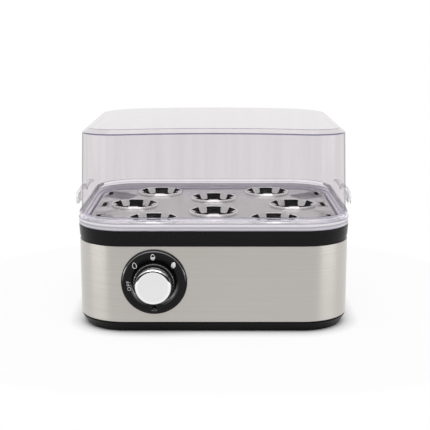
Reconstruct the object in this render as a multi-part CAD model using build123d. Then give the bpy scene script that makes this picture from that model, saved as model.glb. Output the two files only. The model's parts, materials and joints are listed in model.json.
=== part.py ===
from build123d import *
from math import atan2, degrees, sqrt
import os

# Electric egg cooker: a low steel-banded housing, a water pan, an egg tray and a clear lid.
# Sizes are in millimetres. The table is z = 0, the dial faces -Y.
# Shapes are built about the middle of the body, and saved about the middle of the whole outline.

# Body outline, shared by the base, the band, the collar and the lid's foot
body_width = 196.0
body_depth = 170.0
corner_radius = 35.0

# Heights of the stack
foot_proud = 0.4
base_height = 8.2
band_height = 54.8
collar_height = 10.4
lid_height = 71.1
seat_gap = 0.1

# Base shell
base_draw_in = 4.5
base_wall = 2.4
base_floor = 2.2
spigot_height = 5.0
spigot_wall = 2.0
spigot_clearance = 0.2

# Steel band
band_inset = 0.5
band_thickness = 0.7

# Collar between the band and the lid
neck_height = 2.3
neck_inset = 0.9
collar_taper = 0.5
collar_rim = 3.2
collar_ledge = 2.4
collar_spigot_drop = 6.0

# Water pan and its seal
pan_sheet = 0.8
pan_side_inset = 12.0
pan_corner_radius = 42.5
pan_side_draft = 3.0
pan_depth = 9.6
pan_clearance = 0.6
pan_flange_gap = 0.4
pan_seat_depth = 4.3
well_radius = 54.0
well_depth = 2.0
gasket_thickness = 1.0

# Heater under the pan
spreader_radius = 52.0
spreader_thickness = 2.0
element_ring_radius = 42.0
element_tube_radius = 3.25
element_bend_radius = 8.0
element_leg_offset = 9.0
element_leg_length = 17.0
element_pin_radius = 1.25
element_pin_length = 8.0
stud_offset = 26.0
stud_radius = 2.0
stud_length = 15.0
bar_width = 14.0
bar_thickness = 1.2
bar_gap = 2.2
bar_eye_radius = 12.0
bar_eye_hole_radius = 6.0
thermostat_radius = 8.0
thermostat_flange_width = 1.0
thermostat_flange_height = 1.0
blade_width = 6.3
blade_thickness = 0.8
blade_length = 8.0
blade_pitch = 8.0
fuse_radius = 2.0
fuse_length = 12.0
fuse_wire_radius = 0.5
fuse_wire_length = 6.0
fuse_y = 24.0
clip_thickness = 0.5
clip_width = 6.0
clip_foot = 5.0
rivet_radius = 1.0
rivet_head_radius = 1.8
rivet_head_height = 0.7
rivet_depth = 1.2
nut_across_flats = 7.0
nut_height = 3.2

# Screw posts
post_radius = 3.6
corner_post_reach = 24.5
side_post_inset = 7.7
side_post_radius = 3.4
base_screw_radius = 1.5
base_screw_head_radius = 3.0
base_screw_head_height = 1.8
base_screw_length = 21.0
base_boss_height = 4.8
small_screw_radius = 1.25
small_screw_head_radius = 2.3
small_screw_head_height = 1.6
screw_clearance = 0.2

# Feet
foot_radius = 7.0
foot_thickness = 2.0
foot_inset_x = 32.0
foot_inset_y = 32.0

# Egg tray
tray_sheet = 0.6
tray_inset = 7.5
tray_height = 4.8
tray_corner_radius = 27.5
tray_edge_round = 1.5
egg_hole_radius = 17.5
rim_foot_radius = 18.8
rim_rise = 1.3
egg_side_pitch = 61.5
egg_middle_pitch = 28.5
egg_corner_pitch_x = 44.2
egg_corner_pitch_y = 55.0
tab_count = 5
tab_width = 9.0
tab_crest_radius = 15.6
tab_tip_radius = 13.5
tab_crest_rise = 0.9
tab_drop = 3.4
tab_crest_bend = 0.9
slot_length = 17.0
slot_width = 3.4
slot_pitch = 47.5
slot_set_back = 4.0
slot_edge_distance = 5.3

# Lid
lid_wall = 2.0
lid_top_thickness = 2.2
lid_foot_height = 9.0
lid_foot_step = 4.0
lid_foot_step_inset = 0.5
lid_foot_wall = 2.4
lid_rim_height = 1.8
lid_lip_depth = 1.9
lid_lip_wall = 1.6
lid_lip_clearance = 0.5
lid_wall_inset_low = 2.1
lid_wall_inset_high = 4.1
lid_shoulder_width = 4.0
lid_shoulder_rise = 3.2
lid_top_crown = 2.0
ear_reach = 6.6
ear_length = 36.0
ear_top = 19.6
ear_bottom = 6.4
ear_wall = 2.0
ear_round = 6.0
ear_end_round = 1.5

# Dial, knob and timer, measured along the dial's own axis from the band's face
dial_x = -41.9
dial_z = 37.5
bezel_radius = 23.3
bezel_thickness = 2.0
bezel_bevel = 1.1
bezel_spigot_radius = 15.6
bezel_spigot_wall = 2.0
bezel_spigot_length = 4.5
bezel_post_offset = 19.3
bezel_post_radius = 2.7
bezel_post_length = 6.0
hole_clearance = 0.2
knob_gap = 0.6
skirt_radius = 14.75
skirt_height = 3.2
skirt_round = 1.2
rib_count = 36
rib_radius = 0.35
cap_radius = 12.65
cap_height = 8.9
cap_wall = 0.9
cap_edge_round = 0.7
cap_foot_gap = 0.3
shaft_radius = 3.0
shaft_flat = 2.2
shaft_tip_gap = 2.0
shaft_buried = 9.0
shaft_clearance = 0.05
clip_sheet = 0.35
bush_radius = 5.0
bush_length = 4.0
timer_width = 31.0
timer_height = 38.0
timer_depth = 20.0
timer_round = 2.0
bracket_thickness = 1.2
bracket_width = 48.0
bracket_height = 26.0
bracket_round = 3.0
lens_offset = 19.5
lens_radius = 1.1
lens_proud = 0.15
lamp_radius = 1.9
lamp_length = 5.6
lamp_tube_wall = 0.8
lamp_gap = 0.2

# Mains inlet, terminal block and leads
gland_x = 45.0
gland_z = 22.0
gland_bore_radius = 3.3
gland_neck_radius = 4.9
gland_flange_radius = 8.0
gland_flange_thickness = 1.5
gland_nut_radius = 7.0
gland_nut_thickness = 3.0
block_length = 24.0
block_width = 15.0
block_height = 11.0
block_bevel = 1.0
block_y = 48.0
lead_radius = 1.2
lead_pitch = 7.0
lead_level = 30.0
lead_tier = 5.0
lead_run = 14.0
lead_bend = 4.0
lead_tight_bend = 2.5
lead_timer_bend = 12.0
earth_inset = 28.3
earth_screw_radius = 2.0
earth_head_radius = 3.6
earth_head_height = 1.9

# Levels worked out from the sizes above
base_bottom = foot_proud
base_top = base_bottom + base_height
band_top = base_top + band_height
collar_top = band_top + collar_height
ledge_top = collar_top - pan_seat_depth
ledge_bottom = ledge_top - collar_ledge
pan_flange_bottom = ledge_top + gasket_thickness
pan_flange_top = pan_flange_bottom + pan_sheet
pan_floor_top = pan_flange_top - pan_depth
well_floor_top = pan_floor_top - well_depth
spreader_top = well_floor_top - pan_sheet
spreader_bottom = spreader_top - spreader_thickness
element_z = spreader_bottom - element_tube_radius
bar_top = element_z - element_tube_radius - bar_gap
bar_bottom = bar_top - bar_thickness
tray_bottom = pan_flange_top + seat_gap
tray_top = tray_bottom + tray_height
lid_bottom = collar_top + seat_gap
lid_top = lid_bottom + lid_height
lid_foot_top = lid_bottom + lid_foot_height

# Places worked out from the sizes above
half_width = body_width / 2
half_depth = body_depth / 2
front_y = -(half_depth - band_inset)
rear_y = half_depth - band_inset
corner_x = half_width - corner_radius
corner_y = half_depth - corner_radius
post_x = corner_x + corner_post_reach / sqrt(2)
post_y = corner_y + corner_post_reach / sqrt(2)
side_post_x = half_width - side_post_inset
earth_x = side_post_x - earth_inset
knob_reach = bezel_thickness + knob_gap + skirt_height + cap_foot_gap + cap_height
front_reach = knob_reach - front_y
rear_reach = rear_y + gland_flange_thickness
body_y = (front_reach - rear_reach) / 2
dial_plane = Plane(origin=(dial_x, front_y, dial_z), x_dir=(1, 0, 0), z_dir=(0, -1, 0))
gland_plane = Plane(origin=(gland_x, rear_y, gland_z), x_dir=(-1, 0, 0), z_dir=(0, 1, 0))
egg_places = (
    [(side * egg_side_pitch, 0) for side in (-1, 1)]
    + [(0, side * egg_middle_pitch) for side in (-1, 1)]
    + [(sx * egg_corner_pitch_x, sy * egg_corner_pitch_y) for sx in (-1, 1) for sy in (-1, 1)]
)
corner_posts = [(sx * post_x, sy * post_y) for sx in (-1, 1) for sy in (-1, 1)]
side_posts = [(-side_post_x, 0), (side_post_x, 0)]


def outline(z, inset, radius=None):
    """Rounded rectangle at height z, drawn in from the body's outline by inset."""
    corner = corner_radius - inset if radius is None else radius
    return Pos(0, 0, z) * RectangleRounded(body_width - 2 * inset, body_depth - 2 * inset, corner)


def prism(low, high, inset, radius=None):
    """Upright solid on the body's outline between two heights."""
    return extrude(outline(low, inset, radius), high - low)


def stack(*levels):
    """Solid through several outlines, each a height, an inset and, if it differs, a corner radius."""
    return loft([outline(*level) for level in levels], ruled=True)


def post(radius, low, high):
    """Upright cylinder between two heights."""
    return Pos(0, 0, low) * Cylinder(radius, high - low, align=(Align.CENTER, Align.CENTER, Align.MIN))


def block(x_size, y_size, low, high):
    """Upright box between two heights."""
    return Pos(0, 0, low) * Box(x_size, y_size, high - low, align=(Align.CENTER, Align.CENTER, Align.MIN))


def at(places, shape):
    """Copies of a shape at several places of the floor plan."""
    return [Pos(x, y, 0) * shape for x, y in places]


def save(name, shape):
    """Writes one node, moved so that the origin is below the middle of the whole outline."""
    export_step(Pos(0, body_y, 0) * shape, f"parts/{name}.step")


def make_base_shell():
    """Tray-like base: sides drawn in towards the table, and an upstand inside the band."""
    upstand = band_inset + band_thickness + spigot_clearance
    inner = upstand + spigot_wall
    floor_z = base_bottom + base_floor
    floor_inset = base_draw_in * (1 - base_floor / base_height) + base_wall
    shell = stack((base_bottom, base_draw_in), (base_top, band_inset))
    shell += prism(base_top - 1, base_top + spigot_height, upstand)
    shell -= stack((floor_z, floor_inset), (base_top, inner), (base_top + spigot_height + 1, inner))
    boss_top = floor_z + base_boss_height
    for boss in at(corner_posts, post(post_radius, floor_z - 1, boss_top)):
        shell += boss
    head_room = base_screw_head_radius + screw_clearance
    head_top = base_bottom + base_screw_head_height + screw_clearance
    for x, y in corner_posts:
        shell -= Pos(x, y, 0) * post(base_screw_radius + screw_clearance, 0, boss_top + 1)
        shell -= Pos(x, y, 0) * post(head_room, 0, head_top)
    for pocket in at(foot_places(), post(foot_radius + screw_clearance, 0, foot_thickness)):
        shell -= pocket
    return shell


def foot_places():
    """Centres of the four feet."""
    x = half_width - foot_inset_x
    y = half_depth - foot_inset_y
    return [(sx * x, sy * y) for sx in (-1, 1) for sy in (-1, 1)]


def make_rubber_feet():
    """Four round pads that stand a little proud of their pockets."""
    pad = chamfer(post(foot_radius, 0, foot_thickness).edges().group_by(Axis.Z)[0], foot_proud)
    return Compound(at(foot_places(), pad))


def make_base_screws():
    """Four long screws from the base up into the collar's posts."""
    head_z = base_bottom + base_screw_head_height
    head = post(base_screw_head_radius, base_bottom + screw_clearance, head_z + screw_clearance)
    screw = head + post(base_screw_radius, head_z, head_z + base_screw_length)
    return Compound(at(corner_posts, screw))


def make_steel_band():
    """Thin steel wrapper with the dial's holes in front and the cord's hole at the back."""
    band = prism(base_top, band_top, band_inset) - prism(base_top - 1, band_top + 1, band_inset + band_thickness)
    reach = 4 * band_thickness
    hole = post(bezel_spigot_radius + hole_clearance, -reach, reach)
    post_hole = post(bezel_post_radius + hole_clearance, -reach, reach)
    hole += Pos(bezel_post_offset, 0, 0) * post_hole
    hole += Pos(-bezel_post_offset, 0, 0) * post_hole
    hole += Pos(0, -lens_offset, 0) * post(lamp_radius + lamp_tube_wall + 2 * hole_clearance, -reach, reach)
    band -= dial_plane * hole
    band -= gland_plane * post(gland_neck_radius + hole_clearance, -reach, reach)
    return band


def make_collar():
    """Black collar: rim round the pan, recessed neck, ledge for the pan, upstand and screw posts."""
    neck_top = band_top + neck_height
    collar = stack((neck_top, collar_taper), (collar_top, 0.0))
    collar += prism(band_top, neck_top, neck_inset)
    upstand = band_inset + band_thickness + spigot_clearance
    collar += prism(band_top - collar_spigot_drop, band_top, upstand)
    collar -= prism(ledge_top, collar_top + 1, collar_rim)
    collar -= prism(0, ledge_bottom, upstand + spigot_wall)
    for leg in at(corner_posts, post(post_radius, corner_post_foot(), ledge_bottom + 1)):
        collar += leg
    for leg in at(side_posts, post(side_post_radius, bar_top, ledge_bottom + 1)):
        collar += leg
    collar -= prism(0, collar_top, pan_side_inset - pan_clearance, pan_corner_radius + pan_clearance)
    screw_top = base_bottom + base_screw_head_height + base_screw_length
    for pilot in at(corner_posts, post(base_screw_radius, 0, screw_top)):
        collar -= pilot
    for pilot in at(side_posts, post(small_screw_radius, 0, bar_top + bar_screw_length())):
        collar -= pilot
    return collar


def corner_post_foot():
    """Height at which the collar's corner posts meet the base's bosses."""
    return base_bottom + base_floor + base_boss_height


def bar_screw_length():
    """Reach of the clamp bar's end screws into the side posts."""
    return 6 * small_screw_radius


def pan_shell(grow):
    """Body of the pan, or with grow = 0 its inside: sloping sides, rounded foot, round well."""
    side = pan_side_inset + pan_sheet - grow
    radius = pan_corner_radius - pan_sheet + grow
    floor_z = pan_floor_top - grow
    foot = 2 * pan_sheet
    dish = stack(
        (floor_z, side + pan_side_draft + foot, radius - pan_side_draft - foot),
        (floor_z + foot, side + pan_side_draft, radius - pan_side_draft),
        (pan_flange_top, side, radius),
    )
    well = post(well_radius + grow, well_floor_top - grow, floor_z + pan_sheet)
    return dish + well


def make_heating_pan():
    """Deep-drawn water pan with a flat flange and a round well over the heater."""
    pan = pan_shell(pan_sheet)
    pan += prism(pan_flange_bottom, pan_flange_top, collar_rim + pan_flange_gap)
    pan -= pan_shell(0)
    pan -= prism(pan_flange_top, collar_top, pan_side_inset + pan_sheet, pan_corner_radius - pan_sheet)
    return pan


def make_pan_gasket():
    """Flat silicone ring under the pan's flange."""
    ring = prism(ledge_top, pan_flange_bottom, collar_rim + 2 * pan_flange_gap)
    return ring - prism(ledge_top, pan_flange_bottom, pan_side_inset - pan_clearance, pan_corner_radius + pan_clearance)


def make_heat_spreader():
    """Aluminium disc under the well, with the two studs that pull the pan down."""
    disc = post(spreader_radius, spreader_bottom, spreader_top)
    for stud in at(stud_places(), post(stud_radius, spreader_bottom - stud_length, spreader_bottom)):
        disc += stud
    for hole in at(rivet_places(), post(rivet_radius, spreader_bottom, spreader_bottom + rivet_depth)):
        disc -= hole
    return disc


def stud_places():
    """Centres of the two studs."""
    return [(-stud_offset, 0), (stud_offset, 0)]


def make_heating_element():
    """Sheathed tube bent to a ring with two parallel legs, and a thin pin at each cold end."""
    ring = element_ring_radius
    bend = element_bend_radius
    leg = element_leg_offset
    bend_y = sqrt((ring + bend) ** 2 - (leg + bend) ** 2)
    turn = degrees(atan2(bend_y, leg + bend))
    start_y = bend_y + element_leg_length
    first = Line((leg, start_y, element_z), (leg, bend_y, element_z))
    outward = JernArc(first @ 1, first % 1, bend, turn)
    loop = JernArc(outward @ 1, outward % 1, ring, 2 * (90 - turn) - 360)
    inward = JernArc(loop @ 1, loop % 1, bend, turn)
    last = Line(inward @ 1, (-leg, start_y, element_z))
    path = Wire([first, outward, loop, inward, last])
    start = Plane(origin=first @ 0, z_dir=first % 0)
    tube = sweep(start * Circle(element_tube_radius), path=path)
    pin = Rot(-90, 0, 0) * post(element_pin_radius, 0, element_pin_length)
    for x in (-leg, leg):
        tube += Pos(x, start_y, element_z) * pin
    return tube


def make_clamp_bar():
    """Steel bar with a wide eye round the thermostat, holes for studs, end screws and earth screw."""
    bar = block(2 * (side_post_x + side_post_radius), bar_width, bar_bottom, bar_top)
    bar = fillet(bar.edges().filter_by(Axis.Z), side_post_radius)
    bar += post(bar_eye_radius, bar_bottom, bar_top)
    bar -= post(bar_eye_hole_radius, bar_bottom, bar_top)
    for hole in at(stud_places(), post(stud_radius + hole_clearance, bar_bottom, bar_top)):
        bar -= hole
    for hole in at(side_posts, post(small_screw_radius + hole_clearance, bar_bottom, bar_top)):
        bar -= hole
    return bar - Pos(earth_x, 0, 0) * post(earth_screw_radius, bar_bottom, bar_top)


def make_clamp_nuts():
    """Two hexagon nuts on the studs, below the bar."""
    corner = nut_across_flats / sqrt(3)
    nut = Pos(0, 0, bar_bottom - nut_height) * extrude(RegularPolygon(corner, 6), nut_height)
    nut -= post(stud_radius, bar_bottom - nut_height, bar_bottom)
    return Compound(at(stud_places(), nut))


def make_bar_screws():
    """Two screws through the ends of the bar into the side posts."""
    screw = post(small_screw_head_radius, bar_bottom - small_screw_head_height, bar_bottom)
    screw += post(small_screw_radius, bar_bottom - 0.5 * small_screw_head_height, bar_top + bar_screw_length())
    return Compound(at(side_posts, screw))


def make_earth_screw():
    """Screw that holds the earth lead's eye against the bar."""
    eye_low = bar_bottom - 2 * lead_radius
    screw = post(earth_screw_radius, eye_low, bar_top + bar_gap)
    screw += post(earth_head_radius, eye_low - earth_head_height, eye_low)
    return Pos(earth_x, 0, 0) * screw


def make_thermostat():
    """Disc thermostat held between bar and spreader: flange, round body, two blade terminals."""
    flange_bottom = spreader_bottom - thermostat_flange_height
    part = post(thermostat_radius + thermostat_flange_width, flange_bottom, spreader_bottom)
    part += post(thermostat_radius, bar_top, flange_bottom)
    blade = block(blade_width, blade_thickness, bar_top - blade_length, bar_top)
    for side in (-1, 1):
        part += Pos(0, side * blade_pitch / 2, 0) * blade
    return part


def make_thermal_fuse():
    """One-shot fuse lying along X against the spreader, with a wire at each end."""
    case = Rot(0, 90, 0) * post(fuse_radius, -fuse_length / 2, fuse_length / 2)
    wire_end = fuse_length / 2 + fuse_wire_length
    wire = Rot(0, 90, 0) * post(fuse_wire_radius, -wire_end, wire_end)
    return Pos(0, fuse_y, spreader_bottom - fuse_radius) * (case + wire)


def make_fuse_clip():
    """Spring steel saddle that presses the fuse against the spreader."""
    outer = fuse_radius + clip_thickness
    saddle = Circle(outer) - Pos(0, outer / 2) * Rectangle(2 * outer, outer)
    saddle += Pos(0, fuse_radius / 2) * Rectangle(2 * outer, fuse_radius)
    saddle += Pos(0, fuse_radius - clip_thickness / 2) * Rectangle(2 * (outer + clip_foot), clip_thickness)
    saddle -= Circle(fuse_radius) + Pos(0, fuse_radius / 2) * Rectangle(2 * fuse_radius, fuse_radius)
    middle = (-clip_width / 2, fuse_y, spreader_bottom - fuse_radius)
    section = Plane(origin=middle, x_dir=(0, 1, 0), z_dir=(1, 0, 0))
    clip = extrude(section * saddle, clip_width)
    for hole in at(rivet_places(), post(rivet_radius, spreader_bottom - clip_thickness, spreader_bottom)):
        clip -= hole
    return clip


def rivet_places():
    """Centres of the two rivets through the fuse clip's feet."""
    reach = fuse_radius + clip_thickness + clip_foot / 2
    return [(0, fuse_y - reach), (0, fuse_y + reach)]


def make_clip_rivets():
    """Two round-headed rivets that hold the fuse clip to the spreader."""
    head_z = spreader_bottom - clip_thickness
    rivet = post(rivet_head_radius, head_z - rivet_head_height, head_z)
    rivet = fillet(rivet.edges().group_by(Axis.Z)[0], rivet_head_height * 0.8)
    rivet += post(rivet_radius, head_z, spreader_bottom + rivet_depth)
    return Compound(at(rivet_places(), rivet))


def make_rim():
    """Raised cone round an egg hole, level with the tray's top face at its foot."""
    middle = -tray_sheet / 2
    line = Polyline((rim_foot_radius + tray_sheet, middle), (rim_foot_radius, middle), (egg_hole_radius, rim_rise))
    section = trace(line, tray_sheet)
    return revolve(Plane.XZ * section, Axis.Z)


def make_tab():
    """One tab on the +X side of an egg hole: it arches over from the rim and hangs inside the hole."""
    root = egg_hole_radius + tray_sheet / 4
    line = FilletPolyline(
        (root, rim_rise - tray_sheet / 4),
        (tab_crest_radius, rim_rise + tab_crest_rise),
        (tab_tip_radius, -tray_sheet / 2 - tab_drop),
        radius=tab_crest_bend,
    )
    side_view = Plane(origin=(0, tab_width / 2, 0), x_dir=(1, 0, 0), z_dir=(0, -1, 0))
    return extrude(side_view * trace(line, tray_sheet), tab_width)


def tab_angles():
    """Directions of the tabs in each hole, with one straight towards the front."""
    return [-90 + 360 * i / tab_count for i in range(tab_count)]


def make_egg_tray():
    """Polished sheet with a turned-down edge, eight rimmed and tabbed egg holes, six slots."""
    round_in = tray_edge_round
    tray = stack(
        (tray_bottom, tray_inset, tray_corner_radius),
        (tray_top - round_in, tray_inset, tray_corner_radius),
        (tray_top - 0.3 * round_in, tray_inset + 0.3 * round_in, tray_corner_radius - 0.3 * round_in),
        (tray_top, tray_inset + round_in, tray_corner_radius - round_in),
    )
    inner = tray_inset + tray_sheet
    tray -= prism(tray_bottom, tray_top - round_in, inner, tray_corner_radius - tray_sheet)
    tray -= stack(
        (tray_top - round_in, inner, tray_corner_radius - tray_sheet),
        (tray_top - tray_sheet, inner + round_in - tray_sheet, tray_corner_radius - round_in),
    )
    cuts = at(egg_places, post(rim_foot_radius, tray_bottom, tray_top + 1))
    slot = Rot(0, 0, 90) * SlotOverall(slot_length, slot_width)
    slot = Pos(0, 0, tray_bottom) * extrude(slot, tray_height + 1)
    slot_x = half_width - tray_inset - slot_edge_distance
    slot_places = [(sx * slot_x, slot_set_back + sy * slot_pitch) for sx in (-1, 1) for sy in (-1, 0, 1)]
    tray -= cuts + at(slot_places, slot)
    seat = make_rim()
    tab = make_tab()
    for angle in tab_angles():
        seat += Rot(0, 0, angle) * tab
    return tray + at(egg_places, Pos(0, 0, tray_top) * seat)


def lid_block(wall, drop):
    """Drafted block with an arched top and a sloping shoulder, set in from the lid's outside."""
    low = (lid_foot_top - lid_wall, lid_wall_inset_low + wall)
    high = (lid_top + 1, lid_wall_inset_high + wall)
    top = lid_top - drop
    arch_radius = (half_width ** 2 + lid_top_crown ** 2) / (2 * lid_top_crown)
    arch = Pos(0, 0, top - arch_radius) * Rot(90, 0, 0) * Cylinder(arch_radius, 2 * body_depth)
    solid = stack(low, high) & arch
    rim = solid.faces().sort_by(Axis.Z)[-1].edges()
    return chamfer(rim, lid_shoulder_rise, lid_shoulder_width)


def make_ear():
    """Finger grip on the lid's right side: a strip that curves outwards and down, open below."""
    inner_x = half_width - lid_wall_inset_low - lid_wall / 2
    outer_x = half_width + ear_reach
    low = lid_bottom + ear_bottom
    high = lid_bottom + ear_top
    ear = Pos((inner_x + outer_x) / 2, 0, 0) * block(outer_x - inner_x, ear_length, low, high)
    ear = fillet(ear.edges().filter_by(Axis.Y).group_by(Axis.Z)[-1].sort_by(Axis.X)[-1], ear_round)
    gap = block(2 * (outer_x - ear_wall), ear_length + 1, low - 1, high - ear_wall)
    gap = fillet(gap.edges().filter_by(Axis.Y).group_by(Axis.Z)[-1].sort_by(Axis.X)[-1], ear_round - ear_wall)
    ear -= gap
    return fillet(ear.edges().filter_by(Axis.Z).group_by(Axis.X)[-1], ear_end_round)


def make_lid():
    """Clear cover: locating lip, stepped foot, drafted walls, sloping shoulder, arched top, two ears."""
    step_z = lid_foot_top - lid_foot_step
    lid = prism(lid_bottom, step_z, 0.0) + prism(step_z, lid_foot_top, lid_foot_step_inset)
    lid += lid_block(0.0, 0.0)
    lid += make_ear()
    lid += mirror(make_ear(), about=Plane.YZ)
    lid -= lid_block(lid_wall, lid_top_thickness)
    lid -= prism(lid_bottom, lid_foot_top - lid_wall, lid_foot_wall)
    lip_inset = collar_rim + lid_lip_clearance
    lid += prism(lid_bottom, lid_bottom + lid_rim_height, lid_foot_wall / 2)
    lid += prism(lid_bottom - lid_lip_depth, lid_bottom, lip_inset)
    return lid - prism(lid_bottom - lid_lip_depth, lid_bottom + lid_rim_height, lip_inset + lid_lip_wall)


def make_dial_bezel():
    """Dial plate with a bevelled rim, a spigot, two screw posts and the lamp's tube behind."""
    plate = post(bezel_radius, 0, bezel_thickness)
    plate = chamfer(plate.edges().group_by(Axis.Z)[-1], bezel_bevel)
    plate += post(bezel_spigot_radius, -bezel_spigot_length, 0)
    plate -= post(bezel_spigot_radius - bezel_spigot_wall, -bezel_spigot_length, 0)
    leg = post(bezel_post_radius, -bezel_post_length, 0)
    pilot = post(small_screw_radius, -bezel_post_length, 0)
    for x in (-bezel_post_offset, bezel_post_offset):
        plate += Pos(x, 0, 0) * (leg - pilot)
    tube = post(lamp_radius + lamp_tube_wall + hole_clearance, -bezel_spigot_length, 0)
    plate += Pos(0, -lens_offset, 0) * tube
    plate -= Pos(0, -lens_offset, 0) * post(lamp_radius + hole_clearance, -bezel_spigot_length, 0)
    plate -= Pos(0, -lens_offset, 0) * post(lens_radius, 0, bezel_thickness)
    plate -= post(bush_radius + hole_clearance, 0, bezel_thickness)
    return dial_plane * plate


def make_pilot_lens():
    """Small clear rod through the dial plate."""
    lens = post(lens_radius, 0, bezel_thickness + lens_proud)
    return dial_plane * Pos(0, -lens_offset, 0) * lens


def make_pilot_lamp():
    """Lamp in the tube behind the lens."""
    lamp = post(lamp_radius, -lamp_gap - lamp_length, -lamp_gap)
    lamp = fillet(lamp.edges().group_by(Axis.Z)[-1], lamp_radius / 2)
    return dial_plane * Pos(0, -lens_offset, 0) * lamp


def shaft_tip():
    """How far in front of the band the shaft ends, inside the knob."""
    return knob_reach - cap_wall - shaft_tip_gap


def flatted(radius, flat, low, high):
    """Round bar with one flat side, facing local +Y."""
    return post(radius, low, high) - Pos(0, flat + radius, 0) * block(2 * radius, 2 * radius, low, high)


def make_knob_core():
    """Black knob body: ribbed skirt, hub inside the cap, and a bore for the flatted shaft."""
    skirt_low = bezel_thickness + knob_gap
    skirt_high = skirt_low + skirt_height
    skirt = post(skirt_radius, skirt_low, skirt_high)
    skirt = fillet(skirt.edges().group_by(Axis.Z)[-1], skirt_round)
    groove = post(rib_radius, skirt_low, skirt_high)
    skirt -= [Rot(0, 0, 360 * i / rib_count) * Pos(skirt_radius, 0, 0) * groove for i in range(rib_count)]
    hub = post(cap_radius - cap_wall, skirt_high, knob_reach - cap_wall)
    bore_radius = shaft_radius + shaft_clearance
    bore = flatted(bore_radius, shaft_flat + clip_sheet, skirt_low, shaft_tip() + shaft_tip_gap / 2)
    return dial_plane * (skirt + hub - bore)


def make_knob_cap():
    """Bright cup over the hub, with a softly rounded front edge."""
    foot = bezel_thickness + knob_gap + skirt_height + cap_foot_gap
    cap = post(cap_radius, foot, knob_reach)
    cap = fillet(cap.edges().group_by(Axis.Z)[-1], cap_edge_round)
    return dial_plane * (cap - post(cap_radius - cap_wall, foot, knob_reach - cap_wall))


def make_timer_shaft():
    """Steel shaft with a flat where the knob sits."""
    round_end = bezel_thickness + knob_gap
    shaft = post(shaft_radius, -bezel_post_length - bracket_thickness - shaft_buried, round_end)
    return dial_plane * (shaft + flatted(shaft_radius, shaft_flat, round_end, shaft_tip()))


def make_shaft_clip():
    """Leaf spring between the shaft's flat and the bore's flat."""
    low = bezel_thickness + knob_gap
    half_chord = sqrt(shaft_radius ** 2 - (shaft_flat + clip_sheet) ** 2) - shaft_clearance
    leaf = block(2 * half_chord, clip_sheet, low, shaft_tip())
    return dial_plane * Pos(0, shaft_flat + clip_sheet / 2, 0) * leaf


def timer_front():
    """Local height of the timer's front face, behind its bracket."""
    return -bezel_post_length - bracket_thickness


def make_timer_body():
    """Timer case with a threaded bush for the shaft and two blade terminals at the back."""
    front = timer_front()
    case = block(timer_width, timer_height, front - timer_depth, front)
    case = fillet(case.edges().filter_by(Axis.Z), timer_round)
    case += post(bush_radius, front, front + bush_length)
    case -= post(shaft_radius + shaft_clearance, front - shaft_buried - shaft_clearance, front + bush_length)
    blade = block(blade_width, blade_thickness, front - timer_depth - blade_length, front - timer_depth)
    for y in (-timer_height / 4, timer_height / 4):
        case += Pos(0, y, 0) * blade
    return dial_plane * case


def make_timer_bracket():
    """Steel plate between the timer and the dial plate's posts."""
    front = -bezel_post_length
    plate = block(bracket_width, bracket_height, front - bracket_thickness, front)
    plate = fillet(plate.edges().filter_by(Axis.Z), bracket_round)
    plate -= post(bush_radius + hole_clearance, front - bracket_thickness, front)
    hole = post(small_screw_radius + hole_clearance, front - bracket_thickness, front)
    for x in (-bezel_post_offset, bezel_post_offset):
        plate -= Pos(x, 0, 0) * hole
    return dial_plane * plate


def make_bracket_screws():
    """Two screws from behind the bracket into the dial plate's posts."""
    seat = -bezel_post_length - bracket_thickness
    screw = post(small_screw_head_radius, seat - small_screw_head_height, seat)
    screw += post(small_screw_radius, seat, -0.2 * bezel_post_length)
    return Compound([dial_plane * Pos(x, 0, 0) * screw for x in (-bezel_post_offset, bezel_post_offset)])


def make_cord_gland():
    """Bush in the band for the mains cord: outer flange, neck, inner nut and a clear bore."""
    skin = band_thickness
    gland = post(gland_flange_radius, 0, gland_flange_thickness)
    gland = fillet(gland.edges().group_by(Axis.Z)[-1], gland_flange_thickness / 2)
    gland += post(gland_neck_radius, -skin, 0)
    gland += post(gland_nut_radius, -skin - gland_nut_thickness, -skin)
    bore = post(gland_bore_radius, -skin - gland_nut_thickness, gland_flange_thickness)
    return gland_plane * (gland - bore)


def make_terminal_block():
    """Terminal block on the base's floor, with three wire holes."""
    floor_z = base_bottom + base_floor
    body = block(block_length, block_width, floor_z, floor_z + block_height)
    body = chamfer(body.edges().group_by(Axis.Z)[-1], block_bevel)
    hole = post(lead_radius, floor_z + block_height / 2, floor_z + block_height)
    for x in lead_offsets():
        body -= Pos(x, 0, 0) * hole
    return Pos(gland_x, block_y, 0) * body


def lead_offsets():
    """Places of the three leads along the terminal block."""
    return [-lead_pitch, 0.0, lead_pitch]


def lead(points, radius):
    """Insulated lead: straight runs joined by round bends."""
    path = FilletPolyline(*points, radius=radius)
    start = Plane(origin=path @ 0, z_dir=path % 0)
    return sweep(start * Circle(lead_radius), path=path)


def block_socket(index):
    """Bottom of one of the terminal block's wire holes."""
    z = base_bottom + base_floor + block_height / 2
    return (gland_x + lead_offsets()[index], block_y, z)


def timer_blade(sign):
    """Tip of one of the timer's blades, in the body's own frame."""
    y = front_y - timer_front() + timer_depth + blade_length
    return (dial_x, y, dial_z + sign * timer_height / 4)


def make_live_lead():
    """From the terminal block to the timer's lower blade."""
    x, y, z = block_socket(0)
    bx, by, bz = timer_blade(-1)
    points = [(x, y, z), (x, y, bz), (bx, by + 2 * lead_run, bz), (bx, by, bz)]
    return lead(points, (lead_bend, lead_timer_bend))


def make_switched_lead():
    """From the timer's upper blade to the thermostat's front blade."""
    bx, by, bz = timer_blade(1)
    ty, tz = -blade_pitch / 2, bar_top - blade_length
    points = [(bx, by, bz), (bx, by + lead_run, bz), (0, ty, lead_level), (0, ty, tz)]
    return lead(points, (lead_bend, lead_tight_bend))


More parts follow.
